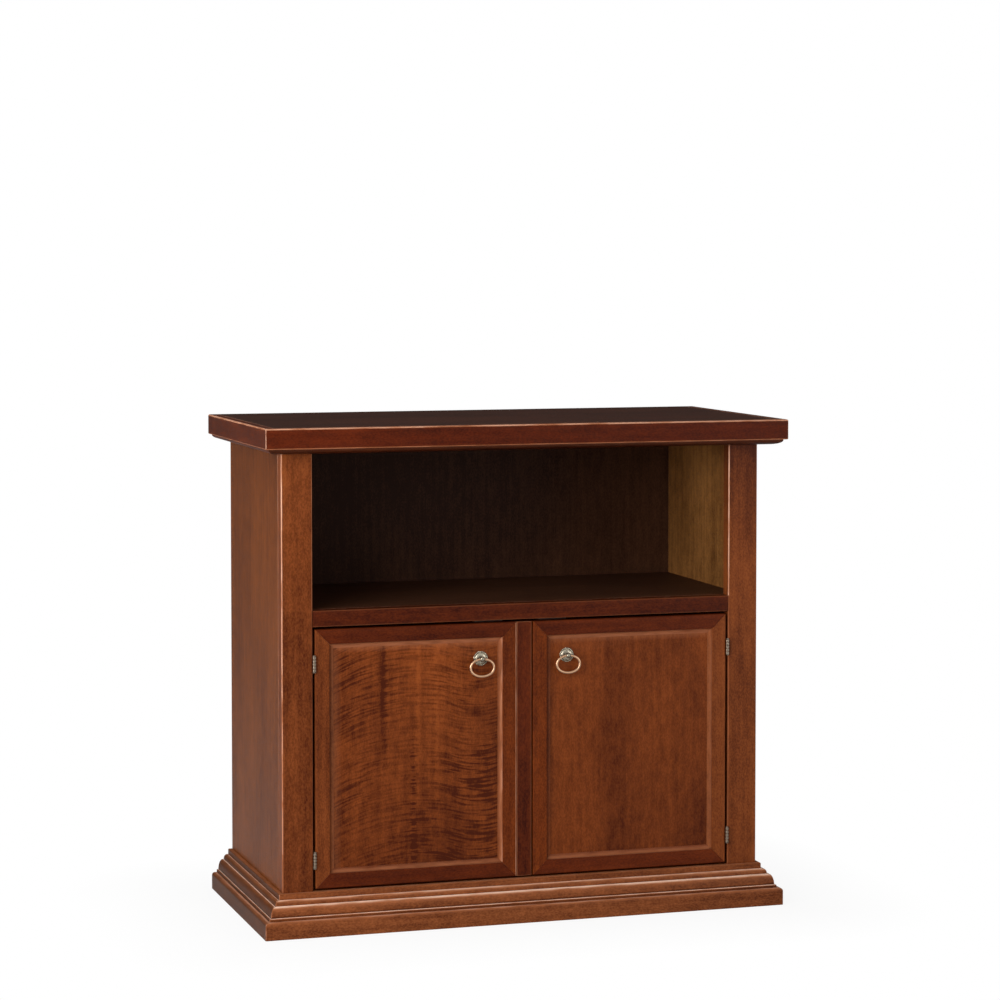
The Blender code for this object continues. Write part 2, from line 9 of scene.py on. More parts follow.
import bmesh
import bpy
from bpy.props import FloatProperty, FloatVectorProperty, IntProperty, PointerProperty
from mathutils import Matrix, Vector


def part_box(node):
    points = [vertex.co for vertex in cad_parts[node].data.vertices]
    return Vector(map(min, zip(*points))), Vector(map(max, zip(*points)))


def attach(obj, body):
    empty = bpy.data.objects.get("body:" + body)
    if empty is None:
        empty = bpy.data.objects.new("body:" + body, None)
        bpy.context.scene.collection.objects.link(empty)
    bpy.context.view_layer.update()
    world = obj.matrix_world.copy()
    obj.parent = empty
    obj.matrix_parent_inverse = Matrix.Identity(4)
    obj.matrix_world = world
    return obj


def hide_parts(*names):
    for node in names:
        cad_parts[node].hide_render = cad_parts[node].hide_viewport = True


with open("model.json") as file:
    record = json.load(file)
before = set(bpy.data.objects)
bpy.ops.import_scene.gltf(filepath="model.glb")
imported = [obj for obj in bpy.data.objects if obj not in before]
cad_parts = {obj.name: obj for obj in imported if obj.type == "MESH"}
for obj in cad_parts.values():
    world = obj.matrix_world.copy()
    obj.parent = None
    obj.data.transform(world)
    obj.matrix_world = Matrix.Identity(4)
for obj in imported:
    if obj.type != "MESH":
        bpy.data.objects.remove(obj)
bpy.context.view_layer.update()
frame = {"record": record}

bl_info = {
    "name": "Television cabinet",
    "version": (1, 0, 0),
    "blender": (4, 5, 0),
    "location": "3D View > Sidebar > Cabinet",
    "description": "Makes the finished pieces of a walnut cabinet round its frame",
    "category": "Object",
}

SIDES = {"left": -1, "right": 1}
BODY = {node: body for body, nodes in frame["record"]["behaviour"]["bodies"].items() for node in nodes}
SLOT = {part["node"]: part["material_slot"] for part in frame["record"]["subparts"]}


def low(node, axis):
    """The least coordinate of a frame node along an axis."""
    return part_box(node)[0]["xyz".index(axis)]


def high(node, axis):
    """The greatest coordinate of a frame node along an axis."""
    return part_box(node)[1]["xyz".index(axis)]


# Planes of the frame that several pieces share
HALF_TOP = high("top_lipping_right", "x")
TOP_FRONT = low("top_lipping_front", "y")
TOP_BACK = high("top_board", "y")
HALF_BODY = high("face_stile_right", "x")
HALF_OPENING = low("face_stile_right", "x")
FRONT = low("face_stile_right", "y")
STILE_BACK = high("face_stile_right", "y")
BACK = high("side_panel_right", "y")
PLINTH_TOP = high("plinth_front", "z")
SHELF_TOP = high("shelf_front_edge", "z")
STILE_TOP = high("face_stile_right", "z")
SEAM = FRONT - high("plinth_front", "y")
MITRE_SEAM = HALF_TOP - high("top_lipping_front", "x")

# How finely rounds are divided, and how flat faces keep their shading
ARRIS_STEPS = 4
MOULD_STEPS = 10
TURNED_STEPS = 48
HEAD_STEPS = 24
NAIL_STEPS = 14
PIN_STEPS = 32
KNUCKLE_STEPS = 36
SMOOTH_ANGLE = math.radians(40)
# The pencil that outlines start from, the waste that is sawn off a bar, the gap that a weld closes, and how
# far a sawn end's chamfer goes in, as a share of its length
PENCIL = 0.001
SPARE_LENGTH = 0.02
WELD = 1e-6
CHAMFER = 0.4
# The radius of an edge that is marked 1, and the least area that a mark is spread over
MARK_RADIUS = 0.002
LEAST_AREA = 1e-12
# A face looks along an axis if its normal goes this far along it
FACING = 0.5


def length(name, description, default):
    """A size that the user can change."""
    return FloatProperty(
        name=name,
        description=description,
        default=default,
        min=0.0,
        subtype="DISTANCE",
        unit="LENGTH",
        precision=4,
    )


def colour(name, description, default):
    """A colour that the user can change, in linear light."""
    return FloatVectorProperty(
        name=name, description=description, default=default, size=3, min=0.0, max=1.0, subtype="COLOR"
    )


def share(name, description, default):
    """A plain number from 0 to 1."""
    return FloatProperty(
        name=name, description=description, default=default, min=0.0, max=1.0, subtype="FACTOR"
    )


def angle(name, description, degrees):
    """A turn that the user can change."""
    return FloatProperty(name=name, description=description, default=math.radians(degrees), subtype="ANGLE")


def watts(name, where, default):
    """The power of a lamp."""
    return FloatProperty(
        name=name, description=f"Watts of the lamp {where}", default=default, min=0.0, unit="POWER"
    )


class CabinetSizes(bpy.types.PropertyGroup):
    """Sizes that the frame's boxes don't give."""

    arris: length("Arris", "Radius of the eased edges of solid wood", 0.0017)
    top_arris: length("Top arris", "Radius of the top's outer upper edge", 0.0024)
    fine_arris: length("Fine arris", "Radius of edges that meet another piece", 0.0004)
    mitre_ease: length("Mitre ease", "Chamfer at the ends of lippings, plinth and strip", 0.0008)
    joint_ease: length("Joint ease", "Chamfer at the ends of the doors' members", 0.0003)
    cornice_setback: length("Cornice setback", "From the lipping's face to the cornice", 0.0060)
    cornice_step: length("Cornice step", "Flat above the cornice's thumbnail", 0.0012)
    cornice_run: length("Cornice run", "Depth of the cornice's thumbnail", 0.0200)
    lip_projection: length("Lip projection", "From the body to the plinth's lip", 0.0070)
    lip_height: length("Lip height", "Height of the plinth's lip", 0.0090)
    upper_step: length("Upper step", "Flat between lip and upper round", 0.0018)
    upper_run: length("Upper run", "Projection of the upper round", 0.0058)
    upper_drop: length("Upper drop", "Height of the upper round", 0.0064)
    middle_fall: length("Middle fall", "Flat under the upper round", 0.0016)
    middle_step: length("Middle step", "Flat between the two rounds", 0.0020)
    lower_run: length("Lower run", "Projection of the lower round", 0.0074)
    lower_drop: length("Lower drop", "Height of the lower round", 0.0166)
    fillet_step: length("Fillet step", "Flat under the lower round", 0.0028)
    fillet_fall: length("Fillet fall", "Height of the fillet", 0.0048)
    shoulder_step: length("Shoulder step", "Flat on the plinth's base", 0.0034)
    shoulder: length("Shoulder", "Radius of the plinth's base", 0.0048)
    frame_face: length("Door frame face", "Flat width of a door's frame", 0.0235)
    mould_width: length("Door mould width", "Width of the cove round a door's panel", 0.0070)
    mould_depth: length("Door mould depth", "Depth of the cove round a door's panel", 0.0060)
    panel_tongue: length("Panel tongue", "How far a panel sits in its groove", 0.0080)
    leaf_thick: length("Leaf thickness", "Thickness of a hinge leaf", 0.0012)
    pin_radius: length("Pin radius", "Radius of a hinge pin", 0.0014)
    pin_clearance: length("Pin clearance", "Between a pin and its knuckles", 0.00035)
    screw_radius: length("Screw radius", "Radius of a countersunk screw's head", 0.0022)
    stem_radius: length("Stem radius", "Radius of a pull's stem", 0.0020)
    rosette_rim: length("Rosette rim", "Height of the beaded rim", 0.0019)
    bead_radius: length("Bead radius", "Radius of a bead on the rim", 0.00115)
    collar_radius: length("Collar radius", "Radius of the post's collar", 0.0034)
    collar_height: length("Collar height", "Height of the post's collar", 0.0012)
    neck_radius: length("Neck radius", "Radius of the post's neck", 0.0024)
    ball_radius: length("Ball radius", "Radius of the post's ball", 0.0046)
    eye_clearance: length("Eye clearance", "Between the ring and the eye", 0.0004)
    knuckles: IntProperty(name="Knuckles", description="Knuckles of a hinge", default=5, min=3)
    beads: IntProperty(name="Beads", description="Beads round a rosette", default=28, min=6)


class CabinetFinishes(bpy.types.PropertyGroup):
    """Colours of the stain, the veneers and the metal."""

    upright_deep: colour("Upright dark", "Dark grain of the uprights", (0.052, 0.0085, 0.0016))
    upright_warm: colour("Upright light", "Light grain of the uprights", (0.225, 0.056, 0.0125))
    rail_deep: colour("Rail dark", "Dark grain of the horizontal members", (0.024, 0.0022, 0.0004))
    rail_warm: colour("Rail light", "Light grain of the horizontal members", (0.124, 0.0205, 0.0034))
    side_deep: colour("Side dark", "Dark grain of the side panels", (0.056, 0.0108, 0.0011))
    side_warm: colour("Side light", "Light grain of the side panels", (0.210, 0.0545, 0.0070))
    top_deep: colour("Top dark", "Dark grain of the top", (0.020, 0.0065, 0.0035))
    top_warm: colour("Top light", "Light grain of the top", (0.068, 0.0205, 0.0095))
    panel_deep: colour("Panel dark", "Dark figure of the door panels", (0.050, 0.0075, 0.0012))
    panel_warm: colour("Panel light", "Light figure of the door panels", (0.240, 0.055, 0.0102))
    plinth_deep: colour("Plinth dark", "Dark grain of the plinth", (0.068, 0.014, 0.0035))
    plinth_warm: colour("Plinth light", "Light grain of the plinth", (0.300, 0.089, 0.0270))
    wall_deep: colour("Wall dark", "Dark grain inside the niche and the cupboard", (0.062, 0.0215, 0.0050))
    wall_warm: colour("Wall light", "Light grain inside the niche and the cupboard", (0.335, 0.143, 0.0395))
    inside_deep: colour("Inside dark", "Dark grain of the inner boards", (0.024, 0.0080, 0.0042))
    inside_warm: colour("Inside light", "Light grain of the inner boards", (0.085, 0.034, 0.0160))
    # Rubbed, worn and bare pale the wood along edges, coves and the plinth's rounds: wear together with
    # painted highlight. Bare is painted highlight alone, on the plinth's lower round.
    rubbed: colour("Rubbed stain", "Stain rubbed thin along coves and rounds", (0.42, 0.15, 0.065))
    worn_and_highlight: colour("Worn edge", "Wood rubbed pale on sharp edges", (0.66, 0.38, 0.26))
    bare_and_highlight: colour("Bare edge", "Bare wood on the plinth's lower round", (0.90, 0.66, 0.52))
    brass: colour("Brass", "Rings", (0.52, 0.315, 0.19))
    antique: colour("Antique brass", "Rosettes and posts", (0.41, 0.360, 0.275))
    patina: colour("Patina", "Dark skin in the brass's hollows", (0.050, 0.042, 0.032))
    bronze: colour("Bronze", "Hinges", (0.24, 0.19, 0.145))
    zinc: colour("Zinc", "Screws, nuts and strike plates", (0.56, 0.56, 0.54))
    plastic: colour("Plastic", "Catches", (0.045, 0.022, 0.013))
    satin: share("Satin", "Roughness of the lacquer", 0.40)


class CabinetStage(bpy.types.PropertyGroup):
    """Camera, lamps and floor."""

    camera_place: FloatVectorProperty(
        name="Camera",
        description="Where the camera stands",
        default=(-1.4579, -4.6792, 1.0761),
        subtype="TRANSLATION",
        unit="LENGTH",
    )
    camera_turn: angle("Turn", "Camera's turn to the right", 17.422)
    camera_tilt: angle("Tilt", "Camera's tilt downward", 2.901)
    lens: FloatProperty(
        name="Lens", description="Focal length in millimetres", default=107.0, min=1.0, unit="CAMERA"
    )
    rise: FloatProperty(name="Rise", description="Vertical shift of the lens", default=-0.10)
    room_light: share("Room light", "Level of the room's own light", 0.26)
    back_light: share("Back light", "Level of the room behind the cabinet, in reflections", 0.07)
    key_power: watts("Key", "at the left", 46.0)
    side_power: watts("Side", "low at the left", 40.0)
    fill_power: watts("Fill", "at the right", 19.0)
    top_power: watts("Top", "overhead", 22.0)
    floor_tone: colour("Floor", "Colour of the floor", (0.86, 0.86, 0.855))


class Recipe:
    """The nodes of one material or of the room, added from the pattern to the shader."""

    def __init__(self, owner, shader="Principled BSDF", place="Object"):
        owner.use_nodes = True
        self.owner = owner
        self.tree = owner.node_tree
        self.shader = self.tree.nodes[shader]
        self.place = self.add("ShaderNodeTexCoord").outputs[place]

    def add(self, kind, values=None, **settings):
        """A node with its settings, and values for some of its sockets."""
        node = self.tree.nodes.new(kind)
        for setting, value in settings.items():
            setattr(node, setting, value)
        for socket, value in (values or {}).items():
            self.feed(node.inputs[socket], value)
        return node

    def feed(self, socket, value):
        """Links a socket to a pattern, or sets it to a plain value."""
        if isinstance(value, bpy.types.NodeSocket):
            self.tree.links.new(value, socket)
        else:
            socket.default_value = value

    def shade(self, name, value):
        """Feeds one of the shader's own sockets."""
        self.feed(self.shader.inputs[name], value)

    def math(self, operation, *values, clamp=False):
        """The result of an operation on patterns or numbers."""
        node = self.add("ShaderNodeMath", dict(enumerate(values)), operation=operation, use_clamp=clamp)
        return node.outputs[0]

    def along(self, axis):
        """The place along an axis."""
        return self.add("ShaderNodeSeparateXYZ", {0: self.place}).outputs[axis]

    def noise(self, stretch, detail=2.0, rough=0.5, warp=0.0, shift=(0, 0, 0), place=None):
        """A noise whose scale differs along X, Y and Z."""
        moved = {"Vector": place or self.place, "Location": shift, "Scale": stretch}
        where = self.add("ShaderNodeMapping", moved).outputs["Vector"]
        values = {"Vector": where, "Scale": 1.0, "Detail": detail, "Roughness": rough, "Distortion": warp}
        return self.add("ShaderNodeTexNoise", values).outputs["Fac"]

    def spread(self, value, start, end, first=0.0, last=1.0):
        """Stretches a stretch of values to another, and holds its ends."""
        values = {"Value": value, "From Min": start, "From Max": end, "To Min": first, "To Max": last}
        return self.add("ShaderNodeMapRange", values, clamp=True).outputs["Result"]

    def mix(self, factor, first, second):
        """A colour between two."""
        values = {0: factor, 6: first, 7: second}
        return self.add("ShaderNodeMix", values, data_type="RGBA").outputs[2]

    def level(self, factor, first, second):
        """A number between two."""
        return self.add("ShaderNodeMix", {0: factor, 2: first, 3: second}).outputs[0]

    def tones(self, value, stops):
        """A colour for each value, from (position, colour) stops."""
        node = self.add("ShaderNodeValToRGB", {"Fac": value})
        elements = node.color_ramp.elements
        while len(elements) < len(stops):
            elements.new(0.5)
        for element, (position, tone) in zip(elements, stops):
            element.position = position
            element.color = opaque(tone)
        return node.outputs["Color"]

    def curve(self, value, points):
        """A smooth line through (value, result) points."""
        node = self.add("ShaderNodeFloatCurve", {"Value": value})
        line = node.mapping.curves[0]
        for spot, ends in zip(line.points, (points[0], points[-1])):
            spot.location = ends
        for position, height in points[1:-1]:
            line.points.new(position, height)
        node.mapping.update()
        return node.outputs["Value"]

    def mark(self, name):
        """A mark that the pieces' faces carry."""
        return self.add("ShaderNodeAttribute", attribute_name=name).outputs["Fac"]

    def bump(self, height, strength, depth):
        """Roughens the surface by a pattern's heights."""
        node = self.add("ShaderNodeBump", {"Strength": strength, "Distance": depth, "Height": height})
        self.shade("Normal", node.outputs["Normal"])


def opaque(tone):
    """A colour with the alpha that sockets ask for."""
    return (*tone, 1.0)


def between(first, second, part):
    """A colour part of the way from one to another."""
    return tuple(a + (b - a) * part for a, b in zip(first, second))


def darkened(tone, part):
    """A colour taken part of the way to black."""
    return opaque(between(tone, BLACK, part))


def stretch(axis, across, along):
    """Noise scales for wood whose grain runs along an axis."""
    return tuple(along if name == axis else across for name in "XYZ")


BLACK = (0.0, 0.0, 0.0)
WHITE = (1.0, 1.0, 1.0)

# Slant of the flamed panel's ripples and how strong they are, from its left edge to its right
RIPPLE_RISE = ((0.0, 0.0), (0.40, 0.40), (0.58, 0.40), (0.86, 0.22), (1.0, 0.29))
RIPPLE_DEPTH = ((0.0, 0.7), (0.25, 0.75), (0.40, 0.7), (0.52, 0.6), (0.64, 0.85), (0.78, 1.0), (1.0, 1.0))
# How high the ripples rise at a slant of 1, as a share of the panel's width
RIPPLE_SLANT = 0.30
# Bold ripples, fine threads among them and the patches where both are strong: cycles per metre along X, Y
# and Z, detail, roughness, warp and shift; then where they begin and are full, and how light they are there
RIPPLES = ((19, 19, 205), 1.6, 0.5, 0.28)
RIPPLE_TONE = (0.52, 0.42, 0.0, -0.46)
THREADS = ((34, 34, 390), 2.0, 0.5, 0.32)
THREAD_TONE = (0.53, 0.43, 0.0, -0.16)
PATCHES = ((11, 11, 7), 1.0, 0.5, 0.0, (3.1, 0, 1.7))
PATCH_TONE = (0.36, 0.60, 0.40, 1.0)
# How light the flamed panel is from its left edge to its right, and what that adds from dark to light
PANEL_SHADE = ((0.0, 0.55), (0.25, 0.70), (0.50, 0.95), (0.70, 0.45), (1.0, 0.20))
SHADE_TONE = (0.0, 1.0, -0.12, 0.08)
# How much lighter the flamed panel is upward, to about a third of its height
FLAME_TONE = (0.0, 0.35, 0.10, 0.19)
# Streaks along its grain: centre and half width as shares of the panel's width, where they end and
# where they are full as shares of its height, and how much lighter they are
STREAKS = (
    (0.31, 0.028, 0.40, 0.70, -0.36),
    (0.515, 0.018, 0.20, 0.50, 0.20),
    (0.62, 0.020, 0.05, 0.40, 0.16),
)
# How far the ripples push a streak aside, and the share of a streak's half width that is full
RAGGED = 0.05
STREAK_CORE = 0.2
# A column of short dark marks in it, given like a streak, and the pattern that divides it
RUNGS = (0.485, 0.022, 0.66, 0.45, -0.50)
RUNG_MARKS = ((20, 20, 290), 1.0)
RUNG_TONE = (0.53, 0.45)
# How far in and how strongly the stain of the panels is rubbed beside the coves
LEFT_MARGIN = (0.014, 0.20)
TOP_MARGIN = (0.009, 0.28)
# How much lighter the panels' veneer is at its foot and at its top
PANEL_LIGHT = (-0.07, 0.04)

# Patterns of the grain: cycles per metre across it and along it, detail, roughness and warp
GRAIN = {
    "cloud": (9, 3.2, 2.0, 0.5, 0.0),
    "mottle": (85, 38, 2.0, 0.55, 0.0),
    "streak": (120, 4.5, 4.0, 0.62, 0.25),
    "speck": (460, 250, 2.0, 0.6, 0.0),
    "pore": (1500, 170, 1.0, 0.5, 0.0),
    "rub": (160, 26, 2.0, 0.5, 0.0),
}
# How far from its middle value each of the first four is followed, how much they count in solid wood and
# in the panels' veneer, and the tone under them
GRAIN_REACH = (0.15, 0.15, 0.15, 0.10)
SOLID_GRAIN = (0.24, 0.18, 0.22, 0.25), 0.08
VENEER_GRAIN = (0.30, 0.18, 0.15, 0.15), 0.075
# How one seed moves the patterns
SEED_SHIFT = Vector((1.7, 2.3, 3.1))
# The tones of the dark, the middle and the light stain, and how far the middle one is from dark to light
STAIN_STOPS = (0.12, 0.52, 0.95)
MIDDLE_STAIN = 0.46
# Where pores open, how strongly they darken the stain, how black they are, and how far and how black the
# hollows are darkened, as dirt and painted shade
PORE_OPEN = (0.60, 0.70)
PORE_STRENGTH = 0.32
PORE_BLACK = 0.45
HOLLOW_DIRT_AND_SHADE = (0.15, 0.85, 0.0, 0.80)
DIRT_AND_SHADE_BLACK = 0.55
# How evenly edges are rubbed; and from which mark to which they are rubbed thin, worn and bare, which is wear
# with painted highlight, and bare only painted highlight on the plinth's rounds
RUB_SHARE = (0.25, 0.60, 0.45, 1.0)
THIN_RUB_AND_HIGHLIGHT = (0.0, 0.6, 0.0, 0.85)
PALE_WEAR_AND_HIGHLIGHT = (0.45, 1.0, 0.0, 0.9)
BARE_HIGHLIGHT = (1.0, 1.9, 0.0, 0.9)
# The lacquer: how the specks change its roughness, how much it mirrors, how deep the grain is in it
SATIN_SPECK = (0.3, 0.7, -0.05, 0.05)
LACQUER_SPECULAR = 0.07
STREAK_HEIGHT = 0.5
GRAIN_BUMP = (0.22, 0.0004)
# How much rougher the unpolished inner boards are
INSIDE_ROUGHER = 0.14

# Metal: the skin's blotches as cycles per metre, detail and roughness, and the grit's cycles; where blotches
# and hollows keep the dark skin, where edges lose it, how much rougher it is than the metal; the grit's bump
SKIN = ((420, 420, 420), 3.0, 0.6)
METAL_GRIT = (2520, 2520, 2520)
SKIN_BLOTCH = (0.38, 0.66)
SKIN_HOLLOW = (0.05, 0.6)
SKIN_RUB = (0.6, 1.0)
SKIN_ROUGHER = 0.25
METAL_BUMP = (0.10, 0.0002)

# Plastic: cycles per metre of its cloud and its grit, its paler cloud and edges and how pale they are,
# where its edges are worn, its roughness, and the grit's bump
PLASTIC_CLOUD = (60, 60, 60)
PLASTIC_GRIT = (2600, 2600, 2600)
PLASTIC_CLOUDED = (0.2, 0.12, 0.08), 0.2
PLASTIC_PALE = (0.5, 0.4, 0.3), 0.4
PLASTIC_WORN = (0.3, 1.0, 0.0, 0.35)
PLASTIC_ROUGH = (0.3, 0.7, 0.45, 0.62)
PLASTIC_BUMP = (0.25, 0.0002)
# Where a cloudy pattern goes from one colour to the other
CLOUD_SPREAD = (0.3, 0.7)


def band(recipe, value, upward, centre, half, none, full, gain):
    """A stripe of value round centre, which fades in along the panel's height."""
    aside = recipe.math("ABSOLUTE", recipe.math("SUBTRACT", value, centre))
    stripe = recipe.spread(aside, half * STREAK_CORE, half, gain, 0.0)
    return recipe.math("MULTIPLY", stripe, recipe.spread(upward, none, full))


def curl(recipe, panel):
    """Lighter and darker parts of flamed walnut: ripples across the grain and a few streaks along it."""
    lowest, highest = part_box(panel)
    aside = recipe.along("X")
    level = recipe.along("Z")
    across = recipe.spread(aside, lowest.x, highest.x)
    upward = recipe.spread(level, lowest.z, highest.z)
    rise = recipe.math("MULTIPLY", recipe.curve(across, RIPPLE_RISE), RIPPLE_SLANT * (highest.x - lowest.x))
    values = {"X": aside, "Z": recipe.math("SUBTRACT", level, rise)}
    slanted = recipe.add("ShaderNodeCombineXYZ", values).outputs[0]
    ripple = recipe.noise(*RIPPLES, place=slanted)
    bold = recipe.spread(ripple, *RIPPLE_TONE)
    fine = recipe.spread(recipe.noise(*THREADS, place=slanted), *THREAD_TONE)
    patches = recipe.spread(recipe.noise(*PATCHES), *PATCH_TONE)
    depth = recipe.math("MULTIPLY", recipe.curve(across, RIPPLE_DEPTH), patches)
    tone = recipe.math("MULTIPLY", recipe.math("ADD", bold, fine), depth)
    tone = recipe.math("ADD", tone, recipe.spread(recipe.curve(across, PANEL_SHADE), *SHADE_TONE))
    ragged = recipe.math("MULTIPLY_ADD", ripple, RAGGED, recipe.math("SUBTRACT", across, RAGGED / 2))
    for streak in STREAKS:
        tone = recipe.math("ADD", tone, band(recipe, ragged, upward, *streak))
    marks = recipe.spread(recipe.noise(*RUNG_MARKS), *RUNG_TONE)
    tone = recipe.math("ADD", tone, recipe.math("MULTIPLY", marks, band(recipe, across, upward, *RUNGS)))
    return recipe.math("ADD", tone, recipe.spread(upward, *FLAME_TONE))


def margin(recipe, panel):
    """How far a panel's stain is rubbed thin along its top, and along the left door's left edge."""
    tongue = bpy.context.scene.cabinet_sizes.panel_tongue
    lowest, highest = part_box(panel)
    reach, gain = TOP_MARGIN
    edge = highest.z - tongue
    bare_and_highlight = recipe.spread(recipe.along("Z"), edge, edge - reach, gain, 0.0)
    if panel.startswith("left"):
        reach, gain = LEFT_MARGIN
        edge = lowest.x + tongue
        strip = recipe.spread(recipe.along("X"), edge, edge + reach, gain, 0.0)
        bare_and_highlight = recipe.math("MAXIMUM", strip, bare_and_highlight)
    return bare_and_highlight


def wood(name, axis, deep, warm, seed, satin, panel=None, fade=None):
    """Stained and lacquered wood whose grain runs along an axis. panel is the door panel that it is
    for, and fade is (axis, where it begins, where it ends, how much lighter it is here and there), a painted
    light and shade along the piece."""
    finishes = bpy.context.scene.cabinet_finishes
    recipe = Recipe(bpy.data.materials.new(name))
    grain = {}
    for kind, (across, along, *manner) in GRAIN.items():
        grain[kind] = recipe.noise(stretch(axis, across, along), *manner, shift=SEED_SHIFT * seed)
    pores = recipe.spread(grain["pore"], *PORE_OPEN)

    parts, tone = VENEER_GRAIN if panel else SOLID_GRAIN
    for pattern, reach, part in zip(grain.values(), GRAIN_REACH, parts):
        tone = recipe.math("ADD", recipe.spread(pattern, 0.5 - reach, 0.5 + reach, 0.0, part), tone)
    if panel:
        lighter = recipe.spread(recipe.along("Z"), low(panel, "z"), high(panel, "z"), *PANEL_LIGHT)
        tone = recipe.math("ADD", tone, lighter)
        if panel.startswith("left"):
            tone = recipe.math("ADD", tone, curl(recipe, panel))
    # Painted light and shade: the stain made lighter or darker toward one end of the piece
    if fade:
        tone = recipe.math("ADD", tone, recipe.spread(recipe.along(fade[0]), *fade[1:]))
    stains = (deep, between(deep, warm, MIDDLE_STAIN), warm)
    shade = recipe.tones(tone, list(zip(STAIN_STOPS, stains)))
    shade = recipe.mix(recipe.math("MULTIPLY", pores, PORE_STRENGTH), shade, darkened(deep, PORE_BLACK))

    # Edges, coves and the plinth's rounds turn paler by their marks: wear together with painted highlight
    rub = recipe.spread(grain["rub"], *RUB_SHARE)
    arris = recipe.math("MULTIPLY", recipe.mark("arris"), rub)
    thin = recipe.spread(arris, *THIN_RUB_AND_HIGHLIGHT)
    if panel:
        thin = recipe.math("MAXIMUM", thin, recipe.math("MULTIPLY", margin(recipe, panel), rub))
    shade = recipe.mix(thin, shade, opaque(finishes.rubbed))
    shade = recipe.mix(recipe.spread(arris, *PALE_WEAR_AND_HIGHLIGHT), shade, opaque(finishes.worn_and_highlight))
    shade = recipe.mix(recipe.spread(arris, *BARE_HIGHLIGHT), shade, opaque(finishes.bare_and_highlight))
    # Hollows darkened toward black: dirt and painted shade
    dirt_and_shade = recipe.spread(recipe.mark("recess"), *HOLLOW_DIRT_AND_SHADE)
    recipe.shade("Base Color", recipe.mix(dirt_and_shade, shade, darkened(deep, DIRT_AND_SHADE_BLACK)))

    start, end, smoother, rougher = SATIN_SPECK
    recipe.shade("Roughness", recipe.spread(grain["speck"], start, end, satin + smoother, satin + rougher))
    recipe.shade("Specular IOR Level", LACQUER_SPECULAR)
    height = recipe.math("SUBTRACT", recipe.math("MULTIPLY", grain["streak"], STREAK_HEIGHT), pores)
    recipe.bump(height, *GRAIN_BUMP)
    return recipe.owner


def metal(name, bright, dark, roughness, skin):
    """Metal with a dark skin left in its hollows and rubbed bright on its edges."""
    recipe = Recipe(bpy.data.materials.new(name))
    grit = recipe.noise(METAL_GRIT)
    kept = recipe.math("MULTIPLY", recipe.spread(recipe.noise(*SKIN), *SKIN_BLOTCH), skin)
    kept = recipe.math("ADD", kept, recipe.spread(recipe.mark("recess"), *SKIN_HOLLOW))
    rubbed = recipe.math("MULTIPLY", recipe.spread(recipe.mark("arris"), *SKIN_RUB), skin)
    kept = recipe.math("SUBTRACT", kept, rubbed, clamp=True)
    recipe.shade("Base Color", recipe.mix(kept, opaque(bright), opaque(dark)))
    recipe.shade("Metallic", 1.0)
    recipe.shade("Roughness", recipe.math("MULTIPLY_ADD", kept, SKIN_ROUGHER, roughness))
    recipe.bump(grit, *METAL_BUMP)
    return recipe.owner


def plastic(name, tone):
    """Moulded plastic with a fine spark-eroded texture."""
    recipe = Recipe(bpy.data.materials.new(name))
    cloud = recipe.noise(PLASTIC_CLOUD)
    grit = recipe.noise(PLASTIC_GRIT)
    clouded = opaque(between(tone, *PLASTIC_CLOUDED))
    base = recipe.mix(recipe.spread(cloud, *CLOUD_SPREAD), opaque(tone), clouded)
    worn_and_highlight = recipe.spread(recipe.mark("arris"), *PLASTIC_WORN)
    recipe.shade("Base Color", recipe.mix(worn_and_highlight, base, opaque(between(tone, *PLASTIC_PALE))))
    recipe.shade("Roughness", recipe.spread(grit, *PLASTIC_ROUGH))
    recipe.bump(grit, *PLASTIC_BUMP)
    return recipe.owner


WHOLE = (1.0, 1.0, 1.0)
# Woods: a seed for the grain, the stain that they take, and how much of its red, green and blue they keep
WOODS = {
    "rail": (2, "rail", WHOLE),
    "side": (3, "side", WHOLE),
    "top": (4, "top", WHOLE),
    "panel": (5, "panel", WHOLE),
    "inside": (6, "inside", WHOLE),
    "plinth": (7, "plinth", WHOLE),
    "wall": (8, "wall", WHOLE),
    "lipping": (9, "rail", (0.80, 0.62, 0.55)),
    # The cornice keeps less of the rail's stain: a painted shade under the top
    "cornice": (10, "rail", (0.45, 0.45, 0.45)),
    # The plinth's sides are darker than its front: a painted shade
    "plinth_side": (11, "side", (0.52, 0.52, 0.52)),
    "door_stile": (12, "upright", WHOLE),
    "meeting_stile": (13, "upright", (0.83, 0.66, 0.42)),
    "left_stile": (14, "upright", WHOLE),
    "right_stile": (15, "upright", WHOLE),
    "door_rail": (16, "rail", WHOLE),
    "back": (17, "inside", WHOLE),
    "shelf_edge": (18, "rail", (0.91, 0.91, 0.91)),
}
# How far under the cornice the painted shade on the right stile begins
SHADE_REACH = 0.20
# Woods made lighter or darker toward one end, a painted light and shade: axis, where that begins and ends,
# and by how much there
LIGHT_AND_SHADE_FADES = {
    "lipping": ("X", -HALF_TOP, 0.0, 0.30, 0.0),
    "left_stile": ("Z", PLINTH_TOP, STILE_TOP, -0.16, 0.17),
    # The right stile darkens under the cornice: a painted shade
    "right_stile": ("Z", low("cornice_front", "z") - SHADE_REACH, STILE_TOP, 0.13, -0.45),
    "door_stile": ("X", 0.0, HALF_OPENING, -0.03, 0.13),
    "door_rail": ("X", 0.0, HALF_OPENING, 0.0, 0.26),
    # The back panel darkens toward the left: a painted shadow of the niche's left side
    "back": ("X", -HALF_OPENING, HALF_OPENING, -0.42, 0.05),
}


